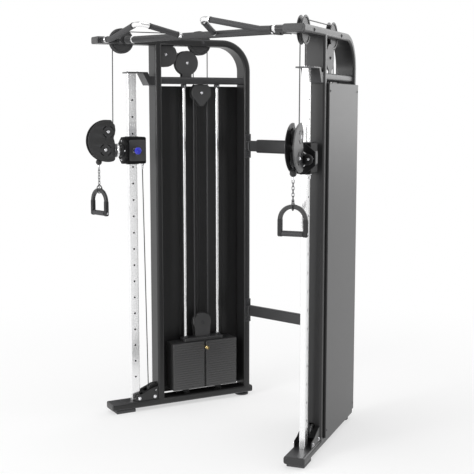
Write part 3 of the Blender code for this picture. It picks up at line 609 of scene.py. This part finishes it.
def build_stack_guides(t):
    low, high = BASE_TOP + GAP, MID_Z - TUBE_T / 2 - GAP
    collars, bumpers = [], []
    for name, offset in (("front", -ROD_OFFSET), ("rear", ROD_OFFSET)):
        y = STACK_Y + offset
        t.piece(f"{name}_chrome_rod", [(bar(ROD_R, (0, y, low), (0, y, high), 0.001), CHROME)],
                "frame", f"{name}_guide_rod", "chrome")
        collars += [(sleeve(ROD_R + 0.0003, 0.0175, (0, y, high - 0.022), (0, y, high), 0.002),
                     STEEL_BLACK)]
        collars += [(bolt((-0.0172, y, high - 0.011), (-1, 0, 0), 0.0035, 0.003), ZINC)]
        profile = [(ROD_R + 0.0003, low), (0.026, low), (0.026, low + 0.005), (0.021, low + 0.009),
                   (0.021, 0.090), (0.018, STACK_BOTTOM - 0.001),
                   (ROD_R + 0.0003, STACK_BOTTOM - 0.001)]
        bumpers += [(lathe(profile, (0, y, 0), closed=True), RUBBER)]
    t.piece("rod_collars", collars, slot="black_steel")
    t.piece("stack_bumpers", bumpers, slot="black_rubber")


def build_feet(t):
    high = FOOT_H - GAP
    pad = block((0.100, 0.125, high), (0, -0.235, high / 2), 0.005, 3)
    t.piece("front_rubber_foot", [(pad, PAD)], "frame", "front_foot", "black_rubber")
    profile = [(0, 0.0), (0.042, 0.0), (0.044, 0.002), (0.044, 0.009), (0.041, 0.012),
               (0.034, 0.014), (0.034, high - 0.001), (0.033, high), (0, high)]
    t.piece("rear_rubber_foot", [(lathe(profile, (0, 0.594, 0), flats=64), PAD)], "frame",
            "rear_foot", "black_rubber")


# Pulleys

def pulley(rim, groove, width, at):
    """A grooved wheel with a dished web, and the steel bearing in its hub."""
    w, hub = width / 2, 0.0135
    half = [(hub, w * 0.92), (hub + 0.005, w * 0.92), (hub + 0.007, w - 0.004),
            (rim - 0.014, w - 0.004), (rim - 0.011, w - 0.0003), (rim - 0.002, w),
            (rim, w - 0.0015), (rim, w - 0.003), (groove + 0.007, 0.0065), (groove + 0.0015, 0.0032),
            (groove, 0.0)]
    profile = half + [(r, -h) for r, h in reversed(half[:-1])]
    wheel = lathe(profile, (0, *at), (1, 0, 0), 72, closed=True)
    race = [(0.0061, w * 0.9), (0.0085, w * 0.9), (0.0095, w * 0.8), (0.0115, w * 0.8),
            (0.0122, w * 0.9), (hub, w * 0.9)]
    race += [(r, -h) for r, h in reversed(race)]
    bearing = lathe(race, (0, *at), (1, 0, 0), 40, closed=True)
    return [(wheel, DISC), (bearing, ZINC)]


def build_pulleys(t):
    for name, at, rim, groove in (
            ("front_top", FRONT_TOP, 0.074, 0.0515), ("rear_top", REAR_TOP, 0.074, 0.0515),
            ("front_return", FRONT_RETURN, 0.072, 0.0515),
            ("rear_return", REAR_RETURN, 0.072, 0.0515),
            ("overhead", OVERHEAD, 0.054, 0.0425), ("stack", STACK_SHEAVE, 0.054, 0.0425),
            ("base", BASE_PULLEY, 0.036, 0.0270),
            ("housing_upper", UPPER_PULLEY, 0.046, 0.0335),
            ("housing_lower", LOWER_PULLEY, 0.046, 0.0335)):
        t.piece(f"{name}_wheel", pulley(rim, groove, PULLEY_W, at), f"{name}_pulley",
                f"{name}_pulley", "black_plastic")


# Carriage, pop pin and swivelling housing

def build_carriage(t):
    depth, middle = CARRIAGE_REAR - CARRIAGE_FRONT, (CARRIAGE_FRONT + CARRIAGE_REAR) / 2
    low, high = CARRIAGE_Z - CARRIAGE_H / 2, CARRIAGE_Z + CARRIAGE_H / 2
    core = block((CARRIAGE_W - 0.004, depth, CARRIAGE_H), (0, middle, CARRIAGE_Z), 0.010, 4)
    quarter = [(0.068, 0.036), (0.012, 0.080)]
    octagon = quarter + [(-x, z) for x, z in reversed(quarter)]
    octagon += [(-x, -z) for x, z in octagon]
    flange = [(x, z + CARRIAGE_Z) for x, z in fillet(octagon, 0.008, 5, cyclic=True)]
    plate = prism([flange], FRONT, FLANGE_FRONT, CARRIAGE_FRONT + 0.001, 0.003, 3)
    column = block((COLUMN_X_SIZE + 0.002, COLUMN_Y_SIZE + 0.002, 0.3),
                   (0, COLUMN_Y, CARRIAGE_Z), 0.003, 2)
    core = carved(core, [column])
    shapes = [(core, MATT), (plate, MATT)]
    for face in (-1, 1):
        pad = rounded_rect(0.104, 0.068 if face > 0 else 0.128, 0.010, (middle + 0.004, CARRIAGE_Z))
        x = face * (CARRIAGE_W / 2 - 0.0022)
        shapes += [(prism([pad], SIDE, x - 0.0022, x + 0.0022, 0.0012), DISC)]
    liner = [rounded_rect(COLUMN_X_SIZE + more, COLUMN_Y_SIZE + more, r, (0, COLUMN_Y))
             for more, r in ((0.016, 0.006), (0.002, 0.005))]
    for z in (low - 0.003, high):
        shapes += [(prism(liner, PLAN, z, z + 0.003, 0.0008), PLASTIC)]
    t.piece("carriage_block", shapes, "carriage", "carriage", "black_plastic")
    bolts = [(bolt((x, FLANGE_FRONT, CARRIAGE_Z + z), (0, -1, 0), 0.0046, 0.005), ZINC)
             for x, z in ((0.054, 0), (0, 0.056), (-0.054, 0), (0, -0.056))]
    t.piece("carriage_flange_bolts", bolts, "carriage")
    anchor = [(0, low), (0.010, low), (0.010, low - 0.010), (0.006, low - 0.014),
              (0.006, low - 0.030), (0.0035, low - 0.034), (0, low - 0.034)]
    t.piece("lower_cable_anchor", [(lathe(anchor, (0, -0.090, 0)), ZINC)], "carriage")


def build_pop_pin(t):
    out = CARRIAGE_W / 2
    z, y = CARRIAGE_Z, COLUMN_Y
    nut = lathe([(0.0113, 0), (0.0145, 0), (0.0145, 0.006), (0.0135, 0.007), (0.0113, 0.007)],
                (-out + 0.0002, y, z), (-1, 0, 0), 6, closed=True)
    t.piece("pop_pin_bush", [(nut, ZINC)], "carriage")
    knob_x = -out - PIN_REACH
    shaft = bar(0.0048, (-0.0165, y, z), (knob_x, y, z), 0.0012)
    barrel = lathe([(0, 0), (0.0085, 0), (0.0095, 0.001), (0.0095, 0.020), (0.0080, 0.022),
                    (0.0080, 0.030), (0.0095, 0.032), (0.0095, 0.046), (0, 0.046)],
                   (-out - 0.0091, y, z), (-1, 0, 0))
    knob = lathe([(0, 0), (0.012, 0), (0.019, 0.003), (0.0212, 0.007), (0.0212, 0.012),
                  (0.019, 0.016), (0.0145, 0.0178), (0.0125, 0.0165), (0.0105, 0.0178),
                  (0.006, 0.0185), (0, 0.0186)],
                 (knob_x + 0.009, y, z), (-1, 0, 0), 72, lobes=6, lobe=0.035)
    t.piece("pop_pin_assembly", [(shaft, CHROME), (barrel, STEEL_BLACK), (knob, BLUE)], "pop_pin",
            "pop_pin", "blue_plastic")


def housing_outline():
    """One half shell of the housing: round in front, stepped behind round the two pulleys."""
    outline = arc(HOUSING_CENTRE, HOUSING_R, 80, 280, 44)
    lower = fillet([(-0.2933, 1.5499), (-0.282, 1.553), (HOUSING_REAR, 1.562),
                    (HOUSING_REAR, 1.658), (-0.280, 1.690), (-0.268, 1.735), (-0.2715, 1.768),
                    (-0.2850, 1.7810), (-0.2933, 1.7961)], 0.014, 5)
    return outline + lower[1:-1]


def build_housing(t):
    half, slot = HOUSING_T / 2, HOUSING_SLOT / 2
    shapes, bolts, vents = [], [], []
    for centre in (UPPER_PULLEY, LOWER_PULLEY):
        for start in (22, 112, 202, 292):
            end = start + 46
            vents.append(arc(centre, 0.038, start, end, 8) + arc(centre, 0.031, end, start, 8))
    for face in (-1, 1):
        near, far = face * slot, face * half
        shell = prism([housing_outline()], SIDE, near, far, 0.0021, 4)
        tools = [prism([ring], SIDE, near - face * 0.001, far + face * 0.001, 0.0002, 1)
                 for ring in vents]
        shapes += [(carved(shell, tools), PLASTIC)]
        lip = arc(HOUSING_CENTRE, HOUSING_R - 0.009, 85, 275, 40)
        shapes += [(wire([(far, y, z) for y, z in lip], 0.0013, sides=2), PLASTIC)]
        for at in (UPPER_PULLEY, LOWER_PULLEY):
            bolts += [(bolt((far - 0.0003 * face, *at), (face, 0, 0), 0.0066, 0.004), ZINC)]
    for at in (UPPER_PULLEY, LOWER_PULLEY):
        bolts += [(axle(slot + 0.001, at), ZINC)]
    rear = HOUSING_REAR - 0.0003
    web = [(rear - 0.0077, 1.5555), (rear, 1.5625), (rear, 1.657), (rear - 0.0077, 1.6650)]
    shapes += [(prism([web], SIDE, -slot - 0.002, slot + 0.002, 0.0005, 1), PLASTIC)]
    boss = lathe([(0, HOUSING_REAR - 0.004), (0.038, HOUSING_REAR - 0.004), (0.040, -0.2740),
                  (0.040, -0.2620), (0.038, -0.2610), (0.034, -0.2600), (0.034, -0.2300),
                  (0.038, -0.2285), (0.038, -0.2228), (0, -0.2228)], (0, 0, CARRIAGE_Z), (0, 1, 0))
    collar = lathe([(0.0335, -0.2612), (0.0400, -0.2612), (0.0418, -0.2595), (0.0418, -0.2500),
                    (0.0400, -0.2483), (0.0335, -0.2483)], (0, 0, CARRIAGE_Z), (0, 1, 0), 64,
                   closed=True)
    shapes += [(boss, PLASTIC), (collar, CHROME)]
    t.piece("swivel_housing", shapes, "housing", "pulley_housing", "black_plastic")
    t.piece("housing_bolts", bolts, "housing")
    # A zinc screw in the ball knob, set on the side that faces the camera on the right tower, so that
    # its bright head also gives the knob a painted highlight.
    middle = Vector((0.038, -0.258, CARRIAGE_Z - 0.002))
    toward = Vector((0.46, -0.88, 0.10)).normalized()
    glint_screw = bar(0.0062, tuple(middle + 0.027 * toward), tuple(middle + 0.0305 * toward), 0.001, 24)
    t.piece("housing_ball_knob", [(ball(0.0298, tuple(middle), 48), MATT), (glint_screw, ZINC)], "housing")


# Cables

def run(t, name, start, end, upper, lower, rings=24):
    """A straight cable between two points, baked in place; it rides on no body."""
    start, end = t.point(*start), t.point(*end)
    points = [start.lerp(end, i / rings) for i in range(rings + 1)]
    obj = make_piece(f"{t.name}_{name}", [(wire(points, CABLE_R, sides=3), CABLE)], None)
    t.body(upper)
    t.body(lower)
    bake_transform(obj)
    return obj


def build_cables(t):
    drop_top = (0.0, FRONT_TOP[0] - TOP_LINE, TOP_Z)
    drop_low = (0.0, UPPER_PULLEY[0] + HOUSING_LINE, UPPER_PULLEY[1])
    split = tuple(Vector(drop_top).lerp(Vector(drop_low), 0.74))
    upper = run(t, "drop_cable_upper", drop_top, split, "frame", "carriage")
    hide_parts(f"{t.name}_drop_cable")
    run(t, "drop_cable_lower", split, drop_low, "carriage", "housing")
    wrap = side_arc(UPPER_PULLEY, HOUSING_LINE, 0, -52, 10)
    wrap += side_arc(LOWER_PULLEY, HOUSING_LINE, 128, 180, 10)
    t.piece("housing_cable", [(wire(wrap, CABLE_R, sides=3), CABLE)], "housing")
    y, z = CABLE_END
    run(t, "pull_cable", (0, y, LOWER_PULLEY[1]), (0, y, z + 0.012), "housing", "cable_end")
    over = side_arc(FRONT_TOP, TOP_LINE, 180, 90, 10) + side_arc(REAR_TOP, TOP_LINE, 90, 0, 10)
    back = side_arc(REAR_RETURN, TOP_LINE, 0, 118, 12) + side_arc(FRONT_RETURN, TOP_LINE, 118, 180, 8)
    back += [(0, BASE_PULLEY[0] + BASE_LINE, z) for z in (1.9, 0.2)]
    back += side_arc(BASE_PULLEY, BASE_LINE, 0, -180, 16)
    top = side_arc(OVERHEAD, BLOCK_LINE, 0, 180, 16)
    t.piece("routed_cables", [(wire(p, CABLE_R, sides=3), CABLE) for p in (over, back, top)],
            "frame")
    rear, front = STACK_Y + BLOCK_LINE, STACK_Y - BLOCK_LINE
    for name, y, top_z, x in (("rear_lift_cable", rear, REAR_TOP[1], -0.004),
                              ("rear_block_cable", rear, OVERHEAD[1], 0.004),
                              ("front_block_cable", front, OVERHEAD[1], -0.004),
                              ("front_return_cable", front, REAR_RETURN[1], 0.004)):
        run(t, name, (x, y, top_z), (x, y, STACK_SHEAVE[1]), "frame", "lifted_stack")
    under = side_arc(STACK_SHEAVE, BLOCK_LINE, 0, -180, 16)
    t.piece("stack_cable_loop", [(wire(under, CABLE_R, sides=3), CABLE)], "lifted_stack")
    anchor = (0, -0.090, CARRIAGE_Z - CARRIAGE_H / 2 - 0.030)
    foot = (0, BASE_PULLEY[0] - BASE_LINE, BASE_PULLEY[1])
    run(t, "carriage_cable", anchor, foot, "carriage", "frame")


# Handle

def chain_link(z, quarter, length=0.0215, width=0.0115, r=0.0019):
    """One link of chain. Every second link is turned a quarter."""
    half = (length - width) / 2
    loop = arc((0, half), width / 2, 0, 180, 8) + arc((0, -half), width / 2, 180, 360, 8)
    points = [(0, a, z + b) if quarter else (a, 0, z + b) for a, b in loop]
    return wire(points, r, cyclic=True, sides=2)


def turn_all(shapes, matrix):
    for mesh, _ in shapes:
        mesh.transform(matrix)


def build_handle(t):
    y, ball_z = CABLE_END
    turn = HANDLE_TURN[t.side] * t.side
    swivel = Matrix.Translation((0, y, 0)) @ Matrix.Rotation(turn, 4, "Z")
    stop = lathe([(0, -0.018), (0.006, -0.0172), (0.0125, -0.013), (0.0168, -0.006), (0.018, 0.001),
                  (0.0168, 0.007), (0.0125, 0.0132), (0.008, 0.0162), (0.0045, 0.0172),
                  (0.0045, 0.0200), (0, 0.0200)], (0, y, ball_z), flats=48)
    ferrule = lathe([(0, 0), (0.0052, 0), (0.006, 0.001), (0.006, 0.013), (0.0045, 0.016), (0, 0.016)],
                    (0, y, ball_z - 0.032))
    top, low = ball_z - 0.040, RING_Z + 0.026
    links = 7
    pitch = (top - low) / (links - 1)
    chain = [(chain_link(top - i * pitch, i % 2), CHAIN) for i in range(links)]
    oval = [(0, 0.0176 * math.cos(a), RING_Z + 0.005 + 0.0235 * math.sin(a))
            for a in (math.radians(15 * i) for i in range(24))]
    hook = wire(oval, 0.0032, cyclic=True, sides=3)
    gate = bar(0.0039, (0, 0.0178, RING_Z - 0.004), (0, 0.0178, RING_Z + 0.014), 0.001, 20)
    hung = chain + [(hook, STEEL_BLACK), (gate, STEEL_BLACK)]
    turn_all(hung, swivel)
    t.piece("cable_stop_and_chain", [(stop, RUBBER), (ferrule, ZINC)] + hung, "cable_end",
            "cable_end", "black_rubber")
    middle = (0.0, RING_Z - HANDLE_HALF)
    foot = GRIP_Z - GRIP_R - 0.0015
    outer, inner = HANDLE_HALF + HANDLE_BAND / 2, HANDLE_HALF - HANDLE_BAND / 2
    outline = arc(middle, outer, 0, 180, 40)
    outline += arc((-outer + 0.007, foot + 0.007), 0.007, 180, 270, 5) + [(-inner, foot)]
    outline += arc(middle, inner, 180, 0, 36) + [(inner, foot)]
    outline += arc((outer - 0.007, foot + 0.007), 0.007, 270, 360, 5)
    arch = prism([outline], FRONT, -HANDLE_DEPTH / 2, HANDLE_DEPTH / 2, 0.003, 4)
    core = bar(0.0068, (-HANDLE_HALF, 0, GRIP_Z), (HANDLE_HALF, 0, GRIP_Z))
    ends = [bolt((s * (outer - 0.0005), 0, GRIP_Z), (s, 0, 0), 0.0055, 0.0025) for s in (-1, 1)]
    top = RING_Z - HANDLE_HALF + 0.004
    pads = [block((HANDLE_BAND + 0.001, HANDLE_DEPTH + 0.005, top - foot - 0.004),
                  (s * HANDLE_HALF, 0, (top + foot + 0.004) / 2), 0.004, 4) for s in (-1, 1)]
    shapes = [(arch, PLASTIC)] + [(mesh, ZINC) for mesh in [core] + ends]
    shapes += [(mesh, RUBBER) for mesh in pads]
    turn_all(shapes, swivel)
    t.piece("handle_arch", shapes, "handle", "handle_strap", "black_plastic")
    half = inner - 0.001
    bore, ridges = 0.0073, 40
    profile = [(bore, -half)]
    for i in range(ridges + 1):
        drop = 0.0012 if i in (0, ridges) else 0.0006 * (i % 2)
        profile.append((GRIP_R - drop + 0.0003, half * (2 * i / ridges - 1)))
    profile.append((bore, half))
    grip = lathe(profile, (0, 0, GRIP_Z), (1, 0, 0), 40, closed=True)
    grip.transform(swivel)
    t.piece("handle_rubber_grip", [(grip, GRIP)], "grip", "handle_grip", "black_rubber")


# Weight stack

def plate_outline():
    """A plate seen from above: rounded corners, a notch at the pin, holes for rods and spine."""
    face, steps, notch_w, notch_d = -STACK_DEPTH / 2, 3, 0.009, 0.0035
    outline = rounded_rect(STACK_DEPTH, STACK_LEN, 0.004, (0, STACK_Y), steps)
    half = 2 * (steps + 1)
    outline[half:half] = [(face + d, STACK_Y + w) for d, w in (
        (0, notch_w), (notch_d, notch_w * 0.7), (notch_d, -notch_w * 0.7), (0, -notch_w))]
    return [outline] + [circle((0, STACK_Y + offset), radius) for offset, radius in (
        (-ROD_OFFSET, ROD_R + 0.001), (ROD_OFFSET, ROD_R + 0.001), (0, 0.011))]


def build_stack(t):
    split = STACK_BOTTOM + (PLATES - LIFTED) * PLATE_H
    for name, low, count, body in (("resting_plates", STACK_BOTTOM, PLATES - LIFTED, "frame"),
                                   ("lifted_plates", split, LIFTED, "lifted_stack")):
        plates = []
        for k in range(count):
            z = low + k * PLATE_H
            plate = prism(plate_outline(), PLAN, z, z + PLATE_H - 0.0006, 0.0014, 2)
            hole = bar(0.0052, (-0.07, STACK_Y, z + PLATE_H / 2), (-0.02, STACK_Y, z + PLATE_H / 2),
                       0.0002, 16)
            plates += [(carved(plate, [hole]), IRON)]
        t.piece(f"{name}_iron", plates, body, name, "black_steel")
    pin_z = split + PLATE_H / 2
    low = STACK_BOTTOM + PLATES * PLATE_H + GAP
    outline = [rounded_rect(0.080, 0.270, 0.008, (0, STACK_Y))]
    outline += [circle((0, STACK_Y + o), ROD_R + 0.001) for o in (-ROD_OFFSET, ROD_OFFSET)]
    head = prism(outline, PLAN, low, low + 0.022, 0.0025, 3)
    arch = arc(STACK_SHEAVE, 0.060, -25, 205, 32)
    arch += [(STACK_Y - 0.050, low + 0.011), (STACK_Y + 0.050, low + 0.011)]
    shapes = [(head, IRON), (bar(0.0095, (0, STACK_Y, split + 0.001), (0, STACK_Y, low + 0.01)), ZINC)]
    shapes += cheeks(arch, 0.001)
    for face in (-1, 1):
        at = (face * CHEEK_FACE, *STACK_SHEAVE)
        shapes += [(bolt(at, (face, 0, 0), 0.008, 0.005), STEEL_BLACK)]
    shapes += [(axle(CHEEK_X, STACK_SHEAVE), ZINC)]
    for offset in (-ROD_OFFSET, ROD_OFFSET):
        shapes += [(sleeve(ROD_R + 0.0005, 0.017, (0, STACK_Y + offset, low + 0.020),
                           (0, STACK_Y + offset, low + 0.034), 0.002), PLASTIC)]
    t.piece("lifting_yoke", shapes, "lifted_stack", "lifting_head", "black_steel")
    face = -STACK_DEPTH / 2
    pin = bar(0.0045, (0.009, STACK_Y, pin_z), (face - 0.016, STACK_Y, pin_z), 0.0015, 24)
    knob = lathe([(0, 0), (0.0075, 0), (0.0098, 0.002), (0.0098, 0.006), (0.0070, 0.009),
                  (0.0062, 0.014), (0.0085, 0.019), (0.0092, 0.023), (0.0075, 0.0255), (0, 0.026)],
                 (face - 0.016, STACK_Y, pin_z), (-1, 0, 0), 32)
    t.piece("brass_selector_pin", [(pin, BRASS), (knob, BRASS)], "selector_pin", "selector_pin",
            "brass")


def build_base_hood(t):
    """Two low cheeks on either side of the column's foot, and the slotted cover between them."""
    low, rear = BASE_TOP + GAP, -TUBE_T / 2 - GAP
    half, wall = HOOD_HALF, 0.004
    slope = [(-0.118, 0.109), (-0.048, 0.138), (rear, 0.143)]
    cheek = fillet([(-0.170, low), (-0.168, 0.098), *slope, (rear, low)], 0.003, 3, cyclic=True)
    shapes = [(prism([cheek], SIDE, x - wall / 2, x + wall / 2, 0.0008), POWDER)
              for x in (wall / 2 - half, half - wall / 2)]
    strip = slope + [(y, z - 0.003) for y, z in reversed(slope)]
    cover = prism([strip], SIDE, wall - half, half - wall, 0.0006, 1)
    slot = block((0.040, 0.080, 0.080), (0, -0.060, 0.140), 0.004, 3)
    shapes += [(carved(cover, [slot]), MATT)]
    shapes += [(axle(half, BASE_PULLEY), ZINC)]
    t.piece("base_hood", shapes, "frame", "base_pulley_bracket", "black_steel")


# Bars between the towers

def build_pull_up_bar(towers):
    """The cross tube with its two bent handles, their grips and the stubs at the towers."""
    right = towers[1]
    face = -TUBE_W / 2
    origin_y = right.matrix[1][3]
    level = origin_y + PULL_BAR_Y
    slope = right.matrix[1][0], right.matrix[1][1]
    y_local = (PULL_BAR_Y - face * slope[0]) / slope[1]
    reach = right.point(face, y_local, TOP_Z).x
    shapes = [(bar(PULL_BAR_R, (-reach + 0.010, level, TOP_Z), (reach - 0.010, level, TOP_Z),
                   0.002, 56), POWDER)]
    for s in (-1, 1):
        t = towers[(s + 1) // 2]
        shapes += [(sleeve(PULL_BAR_R - 0.001, 0.0212, (s * 0.524, level, TOP_Z),
                           (s * 0.532, level, TOP_Z), 0.0012, 56), CHROME)]
        flare = [(PULL_BAR_R - 0.001, 0.536), (0.0200, 0.538), (0.0225, 0.552), (0.0245, 0.572),
                 (0.0245, 0.580), (PULL_BAR_R - 0.001, 0.580)]
        shapes += [(lathe(flare, (0, level, TOP_Z), (s, 0, 0), 56, closed=True), POWDER)]
        end = t.point(face + 0.001, HANDLE_OUTER_Y, TOP_Z)
        elbow = t.point(face - HANDLE_LEVEL, HANDLE_OUTER_Y, TOP_Z)
        start = Vector((s * HANDLE_INNER_X, level, TOP_Z))
        bend = Vector((s * BEND_POINT[0], origin_y + BEND_POINT[1], BEND_POINT[2]))
        path = fillet([tuple(p) for p in (start, bend, elbow, end)], 0.060, 14)
        shapes += [(wire(path, PULL_TUBE_R, sides=7), CHROME)]
        for line in ((start.lerp(bend, 0.12), start.lerp(bend, 0.76)),
                     (bend.lerp(elbow, 0.17), elbow, elbow.lerp(end, 0.50))):
            shapes += [(wire(fillet([tuple(p) for p in line], 0.080, 12), PULL_GRIP_R, sides=7),
                        GRIP)]
            for tip, inward in ((line[0], line[1]), (line[-1], line[-2])):
                along = (inward - tip).normalized()
                shapes += [(sleeve(0.0136, 0.0166, tip - along * 0.001, tip + along * 0.008,
                                   0.0012), RUBBER)]
        for first, last, low, high, radius in ((elbow, end, 0.575, 0.635, 0.0200),
                                               (start, bend, 0.055, 0.105, 0.0155)):
            shapes += [(sleeve(0.0130, radius, first.lerp(last, low), first.lerp(last, high),
                               0.001), CHROME)]
        n = t.outward
        for y, radius in ((y_local, 0.0215), (HANDLE_OUTER_Y, 0.0180)):
            base = t.point(face, y, TOP_Z)
            shapes += [(bar(radius, base - n * 0.050, base - n * GAP, 0.002, 48), POWDER)]
            bead = [base - n * 0.001 + Matrix.Rotation(2 * math.pi * k / 32, 3, n) @
                    Vector((0, 0, radius)) for k in range(32)]
            shapes += [(weld(bead, WELD_R), POWDER)]
    make_piece("pull_up_bar_assembly", shapes, "frame", "pull_up_bar")


def build_crossbars(towers):
    """Two level tubes between the rear posts, with bolted end plates. The upper one is sleeved."""
    right = towers[1]
    face = -TUBE_W / 2 - GAP
    middle = right.point(face, POST_SPACING, 0)
    for name, z in (("upper_crossbar", 1.628), ("lower_crossbar", 0.570)):
        reach = middle.x - 0.014
        section = rounded_rect(0.040, 0.066, 0.009, (middle.y, z))
        shapes = [(prism([section], SIDE, -reach, reach, 0.0005, 1), POWDER)]
        if name == "upper_crossbar":
            cover = rounded_rect(0.050, 0.082, 0.013, (middle.y, z))
            shapes += [(prism([cover], SIDE, -0.250, 0.250, 0.0015, 3), POWDER)]
        for t in towers:
            n = t.outward
            turn = math.atan2(n.y * t.side, n.x * t.side)
            for dx, size, r in ((0.004, (0.008, TUBE_T - 0.003, 0.150), 0.0015),
                                (0.022, (0.040, 0.036, 0.062), 0.007)):
                at = t.point(face - dx, POST_SPACING, z)
                shapes += [(block(size, at, r, 3, turn), POWDER)]
            for dz in (-0.062, 0.062):
                shapes += [(hex_bolt(t.point(face - 0.008, POST_SPACING, z + dz), -n, 0.009,
                                     0.009), STEEL_BLACK)]
        make_piece(f"{name}_weldment", shapes, "frame", name)


towers = [Tower(-1), Tower(1)]
for tower in towers:
    for build in (build_side_frame, build_shroud, build_column, build_stack_guides, build_feet,
                  build_pulleys, build_carriage, build_pop_pin, build_housing, build_cables,
                  build_handle, build_stack, build_base_hood):
        build(tower)
build_pull_up_bar(towers)
build_crossbars(towers)


# Stage, light and camera

def build_floor():
    """A pale floor that fades into its own light away from the machine."""
    bm = bmesh.new()
    bmesh.ops.create_grid(bm, x_segments=8, y_segments=8, size=40.0)
    mesh = new_mesh(bm)
    floor = place("floor", mesh)
    floor.location.z = -0.0005
    material = bpy.data.materials.new("pale_floor")
    material.use_nodes = True
    tree = material.node_tree
    surface = tree.nodes["Principled BSDF"]
    for key, value in (("Base Color", (0.93, 0.93, 0.93, 1)), ("Roughness", 0.9),
                       ("Specular IOR Level", 0.1)):
        surface.inputs[key].default_value = value
    away = add(tree, "VectorMath", {0: add(tree, "TexCoord").outputs["Object"]}, operation="LENGTH")
    fade = ranged(tree, away.outputs["Value"], 0.8, 4.0, 0.55, 1.0, interpolation_type="SMOOTHSTEP")
    mix = add(tree, "MixShader", {0: fade, 1: surface.outputs["BSDF"],
                                  2: add(tree, "Emission").outputs["Emission"]})
    tree.links.new(mix.outputs["Shader"], tree.nodes["Material Output"].inputs["Surface"])
    mesh.materials.append(material)


def build_world():
    """A white room, brightest behind the machine and dim to its right, where it shades itself."""
    world = bpy.data.worlds.new("studio")
    bpy.context.scene.world = world
    world.use_nodes = True
    tree = world.node_tree
    toward_sky = add(tree, "TexCoord").outputs["Generated"]
    total = None
    for toward, *limits in (((0.30, 0.94, 0.03), 0.40, 0.97, 0.08, 2.30),
                            ((-0.12, -0.99, 0.04), 0.80, 0.97, 0.0, 2.8),
                            ((-1, -0.35, 0.05), 0.50, 0.95, 0.0, 0.9),
                            ((1, 0, 0.10), 0.60, 0.95, 0.0, 0.35),
                            ((0, 0, 1), 0.3, 1.0, 0.0, 0.5)):
        lobe = add(tree, "VectorMath", {0: toward_sky, 1: Vector(toward).normalized()},
                   operation="DOT_PRODUCT")
        level = ranged(tree, lobe.outputs["Value"], *limits, interpolation_type="SMOOTHSTEP")
        if total:
            level = add(tree, "Math", {0: total, 1: level}, operation="ADD").outputs[0]
        total = level
    white = (1, 1, 1, 1)
    back = tree.nodes["Background"]
    back.inputs["Color"].default_value = white
    tree.links.new(total, back.inputs["Strength"])
    mix = add(tree, "MixShader", {0: add(tree, "LightPath").outputs["Is Camera Ray"],
                                  1: back.outputs["Background"],
                                  2: add(tree, "Background", {"Color": white}).outputs["Background"]})
    tree.links.new(mix.outputs["Shader"], tree.nodes["World Output"].inputs["Surface"])


def add_light(name, at, target, size, power):
    data = bpy.data.lights.new(name, "AREA")
    data.shape = "DISK"
    data.size = size
    data.energy = power
    light = place(name, data)
    light.location = at
    light.rotation_euler = (Vector(target) - Vector(at)).to_track_quat("-Z", "Y").to_euler()


def add_camera(origin_y):
    """A long lens in front of the machine and to its right, a little under its full height."""
    data = bpy.data.cameras.new("camera")
    data.sensor_width = 36.0
    data.lens = 76.33
    data.shift_y = -0.0021
    camera = place("camera", data)
    camera.location = (3.8593, origin_y - 4.2634, 1.8912)
    forward = Vector((-0.66007, 0.73983, -0.13028))
    camera.rotation_euler = forward.to_track_quat("-Z", "Y").to_euler()
    bpy.context.scene.camera = camera


build_floor()
build_world()
add_light("key", (-0.6, -4.6, 2.4), (0.2, 0.0, 1.2), 1.2, 60)
add_light("top", (0.2, -0.5, 5.0), (0, 0, 1.0), 2.5, 50)
add_camera(towers[1].matrix[1][3])
bpy.context.scene.view_settings.view_transform = "Standard"
